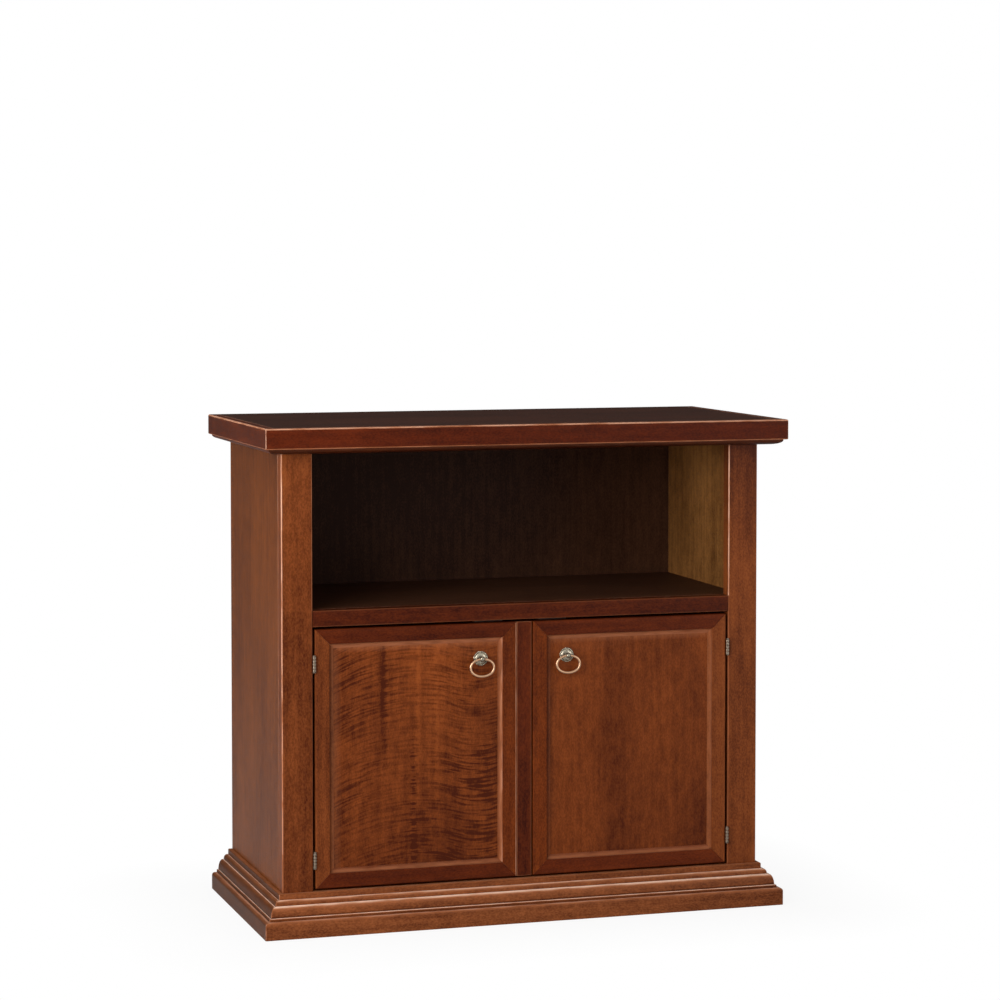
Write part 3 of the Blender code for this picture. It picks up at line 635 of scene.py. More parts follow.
def finish_for(kind, axis="Z", panel=None):
    """The finish that a group of pieces shares. Wood has one for each direction of its grain."""
    tones = bpy.context.scene.cabinet_finishes
    made = bpy.data.materials
    # Metals: name, colour, dark skin, roughness, and how much of the skin is left
    metals = {
        "brass": ("rosette_brass", tones.antique, tones.patina, 0.24, 0.75),
        "aged": ("aged_brass", between(tones.antique, tones.patina, 0.5), tones.patina, 0.18, 0.60),
        "polished": ("rubbed_brass", tones.brass, tones.patina, 0.30, 0.25),
        "bronze": ("bronzed_hinge", tones.bronze, between(tones.bronze, BLACK, 0.6), 0.30, 0.6),
        "zinc": ("zinc_plate", tones.zinc, between(tones.zinc, BLACK, 0.35), 0.30, 0.35),
    }
    if kind in metals:
        return made.get(metals[kind][0]) or metal(*metals[kind])
    if kind == "plastic":
        return made.get("catch_brown") or plastic("catch_brown", tones.plastic)
    number, stain, kept = WOODS[kind]
    seed = number + "XYZ".index(axis) / 4
    name = f"walnut_{panel or kind}_{axis.lower()}"
    satin = tones.satin + (INSIDE_ROUGHER if stain == "inside" else 0.0)
    deep = tuple(a * b for a, b in zip(kept, getattr(tones, f"{stain}_deep")))
    warm = tuple(a * b for a, b in zip(kept, getattr(tones, f"{stain}_warm")))
    return made.get(name) or wood(name, axis, deep, warm, seed, satin, panel, LIGHT_AND_SHADE_FADES.get(kind))


def only(piece):
    """Selects one object and no other."""
    bpy.ops.object.select_all(action="DESELECT")
    piece.select_set(True)
    bpy.context.view_layer.objects.active = piece


def begun(name):
    """Names the primitive just added and sets its place into its mesh."""
    piece = bpy.context.object
    piece.name = name
    piece.data.name = name
    bpy.ops.object.transform_apply(location=True, rotation=True, scale=True)
    return piece


def opened(kind="VERT", action="SELECT"):
    """Enters edit mode to work on one kind of element, with all or nothing selected."""
    bpy.ops.object.mode_set(mode="EDIT")
    bpy.ops.mesh.select_mode(type=kind)
    bpy.ops.mesh.select_all(action=action)


def board(name, lowest, highest, radius, steps=2):
    """A board between two corners, its edges eased."""
    lowest = Vector(lowest)
    highest = Vector(highest)
    bpy.ops.object.select_all(action="DESELECT")
    bpy.ops.mesh.primitive_cube_add(size=1.0, location=(lowest + highest) / 2, scale=highest - lowest)
    piece = begun(name)
    opened("EDGE")
    bpy.ops.mesh.bevel(offset=radius, segments=steps, affect="EDGES")
    bpy.ops.object.mode_set(mode="OBJECT")
    return piece


def drawn(name, points):
    """A chain of edges drawn point by point. The piece is left in edit mode."""
    points = [Vector(point) for point in points]
    bpy.ops.object.select_all(action="DESELECT")
    bpy.ops.mesh.primitive_plane_add(size=PENCIL, location=points[0])
    piece = begun(name)
    opened()
    bpy.ops.mesh.merge(type="CENTER")
    for here, there in zip(points, points[1:]):
        bpy.ops.mesh.extrude_region_move(TRANSFORM_OT_translate={"value": there - here})
    bpy.ops.mesh.select_all(action="SELECT")
    return piece


def closed():
    """Merges doubles, turns the faces outward and leaves edit mode."""
    bpy.ops.mesh.select_all(action="SELECT")
    bpy.ops.mesh.remove_doubles(threshold=WELD)
    bpy.ops.mesh.normals_make_consistent(inside=False)
    bpy.ops.object.mode_set(mode="OBJECT")


def moulding(name, section, place, start, end, ease=0.0):
    """A bar of one section, sawn at both ends. place turns (p, q, along) into a point, and an end
    is (along at p = 0, growth of along with p), so that a growth of 1 or -1 is a mitre. The ends'
    edges are chamfered by ease along the bar."""
    reach = max(abs(p) for p, _ in section)
    first = start[0] - abs(start[1]) * reach - SPARE_LENGTH
    last = end[0] + abs(end[1]) * reach + SPARE_LENGTH
    piece = drawn(name, [place(p, q, first) for p, q in section])
    bpy.ops.mesh.edge_face_add()
    along = Vector(place(0, 0, last)) - Vector(place(0, 0, first))
    bpy.ops.mesh.extrude_region_move(TRANSFORM_OT_translate={"value": along})
    for (at, growth), sign in ((start, -1), (end, 1)):
        corner = Vector(place(0, 0, at))
        across = Vector(place(1, 0, at + growth)) - corner
        facing = across.cross(Vector(place(0, 1, at)) - corner)
        if facing.dot(along) * sign < 0:
            facing.negate()
        bpy.ops.mesh.select_all(action="SELECT")
        bpy.ops.mesh.bisect(plane_co=corner, plane_no=facing, use_fill=True, clear_outer=True)
        if ease:
            step = along.normalized() * sign * ease
            bpy.ops.transform.translate(value=-step)
            bpy.ops.mesh.inset(thickness=ease * CHAMFER)
            bpy.ops.transform.translate(value=step)
    closed()
    return piece


def eased(corners, steps=ARRIS_STEPS):
    """An outline of (p, q, radius) corners, each rounded by its radius."""
    outline = []
    for i, (p, q, radius) in enumerate(corners):
        corner = Vector((p, q))
        if not radius:
            outline.append((p, q))
            continue
        back = (Vector(corners[i - 1][:2]) - corner).normalized()
        onward = (Vector(corners[(i + 1) % len(corners)][:2]) - corner).normalized()
        half = back.angle(onward) / 2
        centre = corner + (back + onward).normalized() * radius / math.sin(half)
        begin = corner + back * radius / math.tan(half) - centre
        sweep = begin.angle_signed(corner + onward * radius / math.tan(half) - centre)
        for step in range(steps + 1):
            turn = -sweep * step / steps
            x = begin.x * math.cos(turn) - begin.y * math.sin(turn)
            y = begin.x * math.sin(turn) + begin.y * math.cos(turn)
            outline.append((centre.x + x, centre.y + y))
    return outline


def oblong(start, end, radii):
    """The outline of an oblong between two corners. radii are those of its corners in turn."""
    corners = (start, (end[0], start[1]), end, (start[0], end[1]))
    return eased([(*corner, radius) for corner, radius in zip(corners, radii)])


def quarter(start, end, first):
    """Points of a quarter ellipse from start to end, without start. It sets off along first, p or q."""
    points = []
    for i in range(1, MOULD_STEPS + 1):
        turn = math.pi / 2 * i / MOULD_STEPS
        early = math.sin(turn)
        late = 1 - math.cos(turn)
        p_share, q_share = (late, early) if first == "q" else (early, late)
        points.append((start[0] + (end[0] - start[0]) * p_share, start[1] + (end[1] - start[1]) * q_share, 0))
    return points


def turned(name, outline, centre, toward, steps=TURNED_STEPS, ring=False):
    """A piece turned about the line through centre along toward, from (radius, height) points.
    A ring's outline closes on itself instead of on the axis."""
    centre = Vector(centre)
    toward = Vector(toward).normalized()
    side = toward.orthogonal().normalized()
    outline = outline + outline[:1] if ring else outline
    piece = drawn(name, [centre + side * radius + toward * height for radius, height in outline])
    bpy.ops.mesh.remove_doubles(threshold=WELD)
    bpy.ops.mesh.spin(steps=steps, angle=2 * math.pi, center=centre, axis=toward)
    closed()
    return piece


def rod(name, radius, start, end):
    """A plain rod between two points, which cuts holes."""
    along = Vector(end) - Vector(start)
    outline = [(0, 0), (radius, 0), (radius, along.length), (0, along.length)]
    return turned(name, outline, start, along)


def cut(piece, cutter):
    """Cuts a shape out of a piece and throws the shape away."""
    only(piece)
    modifier = piece.modifiers.new("cut", "BOOLEAN")
    modifier.operation = "DIFFERENCE"
    modifier.solver = "EXACT"
    modifier.object = cutter
    bpy.ops.object.modifier_apply(modifier="cut")
    bpy.data.objects.remove(cutter, do_unlink=True)


def joined(pieces):
    """Joins pieces into the first of them."""
    only(pieces[0])
    for piece in pieces[1:]:
        piece.select_set(True)
    bpy.ops.object.join()
    return pieces[0]


def scored(piece, place, facing):
    """Divides a piece's faces along a plane, so that they can be marked apart."""
    only(piece)
    opened()
    bpy.ops.mesh.bisect(plane_co=place, plane_no=facing)
    bpy.ops.object.mode_set(mode="OBJECT")


def copied(piece, shift):
    """A copy of a piece with its own mesh, moved by a vector."""
    only(piece)
    bpy.ops.object.duplicate(linked=False)
    copy = bpy.context.object
    opened()
    bpy.ops.transform.translate(value=shift)
    bpy.ops.object.mode_set(mode="OBJECT")
    return copy


def mark_edges(piece, wear_and_highlight):
    """Marks each face with how sharply it bends out (arris) and in (recess), where 1 is MARK_RADIUS.
    The wear function turns a face's place, facing and bend into how far it is rubbed and painted with
    highlight, which is its mark then."""
    shape = bmesh.new()
    shape.from_mesh(piece.data)
    marks = [shape.faces.layers.float.new(name) for name in ("arris", "recess")]
    for face in shape.faces:
        bends = [(edge.calc_face_angle_signed(0.0), edge.calc_length()) for edge in face.edges]
        area = max(face.calc_area(), LEAST_AREA)
        for mark, sign in zip(marks, (1, -1)):
            bend = sum(max(sign * turn, 0.0) * run for turn, run in bends) / (2 * area)
            face[mark] = min(bend * MARK_RADIUS, 1.0)
        if wear_and_highlight:
            rubbed, sunk = marks
            face[rubbed] = wear_and_highlight(face.calc_center_median(), face.normal, face[rubbed])
            face[sunk] *= max(1 - face[rubbed], 0.0)
    shape.to_mesh(piece.data)
    shape.free()


def settle(piece, finish, body, slot, *nodes, wear_and_highlight=None):
    """Marks, shades and finishes a piece, and sets it on its body in place of the frame's nodes."""
    mark_edges(piece, wear_and_highlight)
    only(piece)
    bpy.ops.object.shade_smooth_by_angle(angle=SMOOTH_ANGLE)
    weighted = piece.modifiers.new("flat_faces", "WEIGHTED_NORMAL")
    weighted.keep_sharp = True
    bpy.ops.object.modifier_apply(modifier="flat_faces")
    piece.data.materials.clear()
    piece.data.materials.append(finish)
    if nodes:
        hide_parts(*nodes)
    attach(piece, body)


def stands_for(piece, finish, node, wear_and_highlight=None):
    """Sets a piece in place of one node, on that node's body."""
    settle(piece, finish, BODY[node], SLOT[node], node, wear_and_highlight=wear_and_highlight)


def node_board(node, finish, radius):
    """An eased board that fills a node's box."""
    lowest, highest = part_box(node)
    stands_for(board(f"dressed_{node}", lowest, highest, radius), finish, node)


# How much of the wear and painted highlight that their bend gives the edges keep: those of the cornice,
# those that face down under the top into the shade, and those of the shelf's front edge
CORNICE_RUB = 0.15
LOWER_EDGE_HIGHLIGHT = 0.5
SHELF_RUB = 0.12
# The same for the uprights, whose pale edges are painted highlight with wear: at the foot and at the top,
# where they face right, away from the lamps, and beside the doors. Their wear changes by these parts of the
# shelf's height, up to the last
UPRIGHT_RUB = (0.45, 1.0)
RIGHT_FACING_HIGHLIGHT = 0.5
DOORSIDE_RUB = 0.35
WEAR_PARTS = 4
WEAR_STEPS = 6
# The same for the left door's free edge, a painted highlight, and for its strip
FREE_EDGE_HIGHLIGHT = 0.8
STRIP_RUB = 0.3
# How strongly each door's coves are rubbed pale, beside the frame's face and beside the panel: rubbed stain
# with painted highlight on the coves that face left and up, and little on those that face right into the
# shade
COVE_RUB_AND_HIGHLIGHT = {
    "left": {"left": (0.0, 0.22), "right": (0.62, 0.16), "bottom": (0.46, 0.16), "top": (0.42, 0.40)},
    "right": {"left": (0.0, 0.12), "right": (0.28, 0.20), "bottom": (0.46, 0.16), "top": (0.42, 0.40)},
}
# How strong the painted highlight on the plinth is where it faces up: lip, upper round, lower round with the
# fillet, base; how fast that falls off as it turns down; and the painted highlight on its mitres, whose faces
# turn this far
PLINTH_HIGHLIGHTS = (0.45, 1.4, 2.5, 0.80)
HIGHLIGHT_FALL = 3
MITRE_HIGHLIGHT = 0.6
MITRE_FACING = 0.3


def keeps(rub):
    """Wear and painted highlight that is a share of what an edge's bend gives."""
    return lambda place, facing, bend: rub * bend


def mitred(kind, section, half, front, back, inward, finishes, wear_and_highlight):
    """Front and side members of one section, mitred at the front corners. The section is measured from
    the planes at half, front and back, inward from them if inward is 1 and outward if it is -1."""
    ease = bpy.context.scene.cabinet_sizes.mitre_ease
    for_front, for_sides = finishes
    member = moulding(
        f"dressed_{kind}_front",
        section,
        lambda p, q, x: (x, front + inward * p, q),
        (MITRE_SEAM - half, inward),
        (half - MITRE_SEAM, -inward),
        ease,
    )
    stands_for(member, finish_for(for_front, "X"), f"{kind}_front", wear_and_highlight)
    for name, side in SIDES.items():
        member = moulding(
            f"dressed_{kind}_{name}",
            section,
            lambda p, q, y: (side * (half - inward * p), y, q),
            (front + MITRE_SEAM, inward),
            (back, 0),
            ease,
        )
        stands_for(member, finish_for(for_sides, "Y"), f"{kind}_{name}", wear_and_highlight)


class CABINET_OT_top(bpy.types.Operator):
    """Makes the veneered top, its lippings and the moulded frame under it"""

    bl_idname = "cabinet.top"
    bl_label = "Top and cornice"

    def execute(self, context):
        sizes = context.scene.cabinet_sizes
        fine = sizes.fine_arris
        node_board("top_board", finish_for("top", "X"), fine)
        bottom = low("top_lipping_front", "z")
        top = high("top_lipping_front", "z")
        width = high("top_lipping_front", "y") - TOP_FRONT
        lipping = oblong((0, bottom), (width, top), (sizes.arris, fine, fine, sizes.top_arris))
        planes = (HALF_TOP, TOP_FRONT, TOP_BACK, 1)
        mitred("top_lipping", lipping, *planes, ("lipping", "rail"), self.wear_and_highlight(1.0))
        under = low("cornice_front", "z")
        over = high("cornice_front", "z")
        reach = high("cornice_front", "y") - TOP_FRONT
        setback = sizes.cornice_setback
        thumb = (setback, over - sizes.cornice_step)
        curve = quarter(thumb, (setback + sizes.cornice_run, under), "q")
        cornice = eased([(setback, over, 0), (*thumb, 0), *curve, (reach, under, fine), (reach, over, 0)])
        # The cornice takes a darker copy of the rail's stain: a painted shade under the top
        mitred("cornice", cornice, *planes, ("cornice", "rail"), self.wear_and_highlight(CORNICE_RUB))
        node_board("cornice_back", finish_for("inside", "X"), fine)
        return {"FINISHED"}

    def wear_and_highlight(self, rub):
        """Wear and painted highlight by the bend of the edges, less on those that face down into the shade.
        """
        return lambda place, facing, bend: rub * bend * (LOWER_EDGE_HIGHLIGHT if facing.z < 0 else 1.0)


class CABINET_OT_uprights(bpy.types.Operator):
    """Makes the side panels, rebated for the back, and the stiles on their front edges"""

    bl_idname = "cabinet.uprights"
    bl_label = "Sides and stiles"

    def execute(self, context):
        sizes = context.scene.cabinet_sizes
        fine = sizes.fine_arris
        inner = low("side_panel_right", "x")
        panel_front = low("side_panel_right", "y")
        rebate = low("back_panel", "y") - SEAM
        rebate_side = high("back_panel", "x") + SEAM
        panel = eased(
            [
                (HALF_BODY, panel_front, fine),
                (inner, panel_front, fine),
                (inner, rebate, fine),
                (rebate_side, rebate, 0),
                (rebate_side, BACK, fine),
                (HALF_BODY, BACK, sizes.arris),
            ]
        )
        radii = (sizes.arris, sizes.arris, fine, fine)
        stile = oblong((HALF_BODY, FRONT), (HALF_OPENING, STILE_BACK), radii)
        for name, side in SIDES.items():
            parts = {"side_panel": (panel, "side"), "face_stile": (stile, f"{name}_stile")}
            for kind, (section, finish) in parts.items():
                node = f"{kind}_{name}"
                ends = (low(node, "z"), 0), (high(node, "z"), 0)
                upright = moulding(f"dressed_{node}", section, lambda p, q, z: (side * p, q, z), *ends)
                for level in range(1, WEAR_STEPS):
                    scored(upright, (0, 0, SHELF_TOP * level / WEAR_PARTS), (0, 0, 1))
                stands_for(upright, finish_for(finish), node, self.wear_and_highlight)
                if kind == "side_panel":
                    self.line(upright, side)
        return {"FINISHED"}

    def wear_and_highlight(self, place, facing, bend):
        """Pale edges, wear with painted highlight: most on the edges that face left toward the lamps and
        toward the top, and little beside the doors.
        """
        foot, top = UPRIGHT_RUB
        rub = foot + (top - foot) * place.z / STILE_TOP
        if facing.x > 0:
            rub *= RIGHT_FACING_HIGHLIGHT
        if abs(place.x) < (HALF_OPENING + HALF_BODY) / 2 and place.z < SHELF_TOP:
            rub *= DOORSIDE_RUB
        return rub * bend

    def line(self, panel, side):
        """Gives the inner face of a side panel its thinner stain."""
        panel.data.materials.append(finish_for("wall"))
        for face in panel.data.polygons:
            if face.normal.x * side < -FACING:
                face.material_index = 1


# Where the dome of a nail or a screw bends, as shares of its radius and its height
DOME = (0.6, 0.8)
# Nail heads: radius, height, the share of it that is upright, inset from the panel's edge, and spacing
NAIL_RADIUS = 0.0021
NAIL_CROWN = 0.0006
NAIL_SIDE = 0.25
NAIL_INSET = 0.005
NAIL_SPACING = 0.085


class CABINET_OT_shelves(bpy.types.Operator):
    """Makes the shelf, the bottom, the back panel with its nails, and the rails and cleats"""

    bl_idname = "cabinet.shelves"
    bl_label = "Shelf, bottom and back"

    def execute(self, context):
        sizes = context.scene.cabinet_sizes
        fine = sizes.fine_arris
        for node, kind, axis in (
            ("shelf_board", "inside", "X"),
            ("bottom_board", "inside", "X"),
            # The bottom rail takes the plinth's lighter stain: painted light in the shaded slot under the
            # doors
            ("bottom_rail", "plinth", "X"),
            ("base_rail_back", "inside", "X"),
            ("back_panel", "back", "Z"),
        ):
            node_board(node, finish_for(kind, axis), fine)
        for kind in ("shelf_cleat", "bottom_cleat"):
            for name in SIDES:
                node_board(f"{kind}_{name}", finish_for("inside", "Y"), sizes.arris)
        node = "shelf_front_edge"
        radii = (sizes.arris, sizes.arris, fine, fine)
        section = oblong((low(node, "z"), FRONT), (SHELF_TOP, STILE_BACK), radii)
        ends = (low(node, "x"), 0), (high(node, "x"), 0)
        edge = moulding(f"dressed_{node}", section, lambda z, y, x: (x, y, z), *ends)
        stands_for(edge, finish_for("shelf_edge", "X"), node, keeps(SHELF_RUB))
        self.nails()
        return {"FINISHED"}

    def nails(self):
        """Domed nail heads round the edge of the back panel."""
        lowest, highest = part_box("back_panel")
        crown = NAIL_CROWN
        bend, lift = DOME
        outline = [
            (0, -crown),
            (NAIL_RADIUS, -crown),
            (NAIL_RADIUS, crown * NAIL_SIDE),
            (NAIL_RADIUS * bend, crown * lift),
            (0, crown),
        ]
        first = Vector((lowest.x + NAIL_INSET, highest.y, lowest.z + NAIL_INSET))
        head = turned("back_panel_nails", outline, first, (0, 1, 0), NAIL_STEPS)
        width = highest.x - lowest.x - 2 * NAIL_INSET
        height = highest.z - lowest.z - 2 * NAIL_INSET
        across = round(width / NAIL_SPACING)
        upward = round(height / NAIL_SPACING)
        places = [(width * i / across, z) for i in range(across + 1) for z in (0, height)]
        places += [(x, height * i / upward) for i in range(1, upward) for x in (0, width)]
        copies = [copied(head, (x, 0, z)) for x, z in places if x or z]
        settle(joined([head] + copies), finish_for("zinc"), "carcass", "zinc_steel")


class CABINET_OT_plinth(bpy.types.Operator):
    """Makes the mitred plinth moulding along the front and both sides"""

    bl_idname = "cabinet.plinth"
    bl_label = "Plinth"

    def execute(self, context):
        sizes = context.scene.cabinet_sizes
        self.highlight_levels = self.levels(sizes)
        planes = (HALF_BODY, FRONT, BACK, -1)
        # The plinth's sides take a darker stain than its front: a painted shade
        mitred("plinth", self.section(sizes), *planes, ("plinth", "plinth_side"), self.wear_and_highlight)
        return {"FINISHED"}

    def levels(self, sizes):
        """How strong the painted highlight on the front is above each level, from the lip down to the floor.
        """
        under_lip = PLINTH_TOP - sizes.lip_height
        under_upper = under_lip - sizes.upper_drop - sizes.middle_fall
        under_fillet = under_upper - sizes.lower_drop - sizes.fillet_fall
        levels = (under_lip, under_upper, under_fillet, -sizes.fine_arris)
        return [(level + sizes.fine_arris, rub) for level, rub in zip(levels, PLINTH_HIGHLIGHTS)]

    def wear_and_highlight(self, place, facing, bend):
        """Painted highlight on the upper part of each round, and less on the lip, the mitres and the sides.
        """
        if min(abs(facing.x), abs(facing.y)) > MITRE_FACING:
            return MITRE_HIGHLIGHT * bend
        rub = next((rub for level, rub in self.highlight_levels if place.z > level), 0.0)
        if abs(facing.x) > abs(facing.y):
            rub = PLINTH_HIGHLIGHTS[0]
        return rub * max(facing.z, 0.0) ** HIGHLIGHT_FALL

    def section(self, sizes):
        """Outline of the plinth as (projection, height, radius), from the lip down to the floor."""
        fine = sizes.fine_arris
        lip = sizes.lip_projection
        corners = [(SEAM, PLINTH_TOP, 0), (lip, PLINTH_TOP, sizes.arris)]
        q = PLINTH_TOP - sizes.lip_height
        corners += [(lip, q, fine), (lip + sizes.upper_step, q, 0)]
        p = lip + sizes.upper_step
        corners += quarter((p, q), (p + sizes.upper_run, q - sizes.upper_drop), "p")
        p, q, _ = corners[-1]
        q -= sizes.middle_fall
        corners += [(p, q, fine), (p + sizes.middle_step, q, 0)]
        p += sizes.middle_step
        corners += quarter((p, q), (p + sizes.lower_run, q - sizes.lower_drop), "p")
        p, q, _ = corners[-1]
        p += sizes.fillet_step
        corners += [(p, q, sizes.arris), (p, q - sizes.fillet_fall, 0)]
        q -= sizes.fillet_fall
        p += sizes.shoulder_step
        corners.append((p, q, 0))
        corners += quarter((p, q), (p + sizes.shoulder, q - sizes.shoulder), "p")
        p = corners[-1][0]
        return eased(corners + [(p, 0, fine), (SEAM, 0, 0)])


# Members of a door's frame: their finish, and the axis of their grain
MEMBERS = {
    "hinge_stile": ("door_stile", "Z"),
    "meeting_stile": ("meeting_stile", "Z"),
    "top_rail": ("door_rail", "X"),
    "bottom_rail": ("door_rail", "X"),
}


class CABINET_OT_doors(bpy.types.Operator):
    """Makes the two doors: mitred coved frames, their panels and the meeting strip"""

    bl_idname = "cabinet.doors"
    bl_label = "Doors"

    def execute(self, context):
        sizes = context.scene.cabinet_sizes
        section = self.section(sizes)
        for name in SIDES:
            self.frame(name, section, sizes)
            self.panel(name, sizes)
        self.strip(sizes)
        return {"FINISHED"}

    def section(self, sizes):
        """Outline of a frame member as (distance in from the edge, depth from the front)."""
        fine = sizes.fine_arris
        thick = high("left_door_top_rail", "y") - FRONT
        width = sizes.frame_face + sizes.mould_width
        lowest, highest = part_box("left_door_panel")
        groove_front = lowest.y - FRONT - SEAM
        groove_back = highest.y - FRONT + SEAM
        groove_end = width - sizes.panel_tongue
        corners = [(0, thick, fine), (0, 0, sizes.arris), (sizes.frame_face, 0, sizes.arris / 2)]
        cove = (sizes.frame_face, sizes.arris)
        corners += [(*cove, 0), *quarter(cove, (width, sizes.mould_depth - fine), "q")]
        corners += [
            (width, groove_front, 0),
            (groove_end, groove_front, 0),
            (groove_end, groove_back, 0),
            (width, groove_back, 0),
            (width, thick, fine),
        ]
        return eased(corners)

    def frame(self, name, section, sizes):
        """Two stiles and two rails, mitred at the corners."""
        left = min(low(f"{name}_door_hinge_stile", "x"), low(f"{name}_door_meeting_stile", "x"))
        right = max(high(f"{name}_door_hinge_stile", "x"), high(f"{name}_door_meeting_stile", "x"))
        bottom = low(f"{name}_door_bottom_rail", "z")
        top = high(f"{name}_door_top_rail", "z")
        stiles = ["hinge_stile", "meeting_stile"]
        if name == "right":
            stiles.reverse()

        def wear_and_highlight(place, facing, bend):
            """Paler along the coves, most beside the face, as rubbed stain with painted highlight where they
            face left and up; and a painted highlight along the left door's free edge.
            """
            insets = {
                "left": place.x - left,
                "right": right - place.x,
                "bottom": place.z - bottom,
                "top": top - place.z,
            }
            nearest = min(insets, key=insets.get)
            if insets[nearest] > sizes.frame_face and place.y - FRONT < sizes.mould_depth:
                face, sunk = COVE_RUB_AND_HIGHLIGHT[name][nearest]
                return face + (sunk - face) * (insets[nearest] - sizes.frame_face) / sizes.mould_width
            free = name == "left" and insets["right"] < sizes.arris and abs(facing.z) < FACING
            return bend * FREE_EDGE_HIGHLIGHT if free else 0.0

        upright = (bottom + MITRE_SEAM, 1), (top - MITRE_SEAM, -1)
        level = (left + MITRE_SEAM, 1), (right - MITRE_SEAM, -1)
        for kind, ends, place in (
            (stiles[0], upright, lambda inset, depth, z: (left + inset, FRONT + depth, z)),
            (stiles[1], upright, lambda inset, depth, z: (right - inset, FRONT + depth, z)),
            ("top_rail", level, lambda inset, depth, x: (x, FRONT + depth, top - inset)),
            ("bottom_rail", level, lambda inset, depth, x: (x, FRONT + depth, bottom + inset)),
        ):
            node = f"{name}_door_{kind}"
            member = moulding(f"dressed_{node}", section, place, *ends, sizes.joint_ease)
            stands_for(member, finish_for(*MEMBERS[kind]), node, wear_and_highlight)

    def panel(self, name, sizes):
        """A veneered panel, bored for the pull. The left one is flamed, the right one plain."""
        node = f"{name}_door_panel"
        lowest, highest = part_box(node)
        panel = board(f"dressed_{node}", lowest, highest, sizes.fine_arris)
        start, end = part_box(f"{name}_pull_rosette")
        middle = (start + end) / 2
        reach = Vector((0, 2 * (highest.y - lowest.y), 0))
        cut(panel, rod("bore", sizes.stem_radius + SEAM, middle - reach, middle + reach))
        stands_for(panel, finish_for("panel", "Z", node), node)

    def strip(self, sizes):
        """The strip on the left door's free edge, which covers the meeting of the doors."""
        node = "left_door_astragal"
        lowest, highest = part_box(node)
        radii = (sizes.arris, sizes.arris, sizes.fine_arris, sizes.fine_arris)
        section = oblong(lowest.xy, highest.xy, radii)
        ends = (lowest.z, 0), (highest.z, 0)
        strip = moulding(f"dressed_{node}", section, lambda x, y, z: (x, y, z), *ends, sizes.mitre_ease)
        stands_for(strip, finish_for("rail", "Z"), node, keeps(STRIP_RUB))


# Screw heads as shares of their radius: height of the crown, depth and radius of the sunk part, length, depth
# and width of the slot, and how far the slot's edges are eased
SCREW_CROWN = 0.10
SCREW_DEPTH = 0.45
SCREW_TIP = 0.55
SCREW_SLOT = (3, 0.5, 0.3)
SLOT_EASE = 0.02


def screws(name, centres, toward, radius, body, finish="bronze", slot="hinge_bronze"):
    """Slotted countersunk screw heads, flush with the plate that they hold."""
    toward = Vector(toward)
    crown = radius * SCREW_CROWN
    sunk = -radius * SCREW_DEPTH
    bend, lift = DOME
    outline = [(0, crown), (radius * bend, crown * lift), (radius, 0), (radius * SCREW_TIP, sunk), (0, sunk)]
    head = turned(name, outline, centres[0], toward, HEAD_STEPS)
    across = toward.orthogonal().normalized()
    directions = zip(across, toward, toward.cross(across))
    size = [sum(abs(part) * run for part, run in zip(parts, SCREW_SLOT)) for parts in directions]
    half = Vector(size) * radius / 2
    place = Vector(centres[0]) + toward * crown
    cut(head, board("slot", place - half, place + half, radius * SLOT_EASE, 1))
    copies = [copied(head, Vector(centre) - Vector(centres[0])) for centre in centres[1:]]
    settle(joined([head] + copies), finish_for(finish), body, slot)


# Hinge leaves: the rounded rim of a knuckle and the leaf's cut corners as shares of the knuckle's radius, and
# the heights of its screws as shares of its own
KNUCKLE_RIM = 0.25
LEAF_CORNER = 0.6
LEAF_SCREWS = (0.22, 0.78)


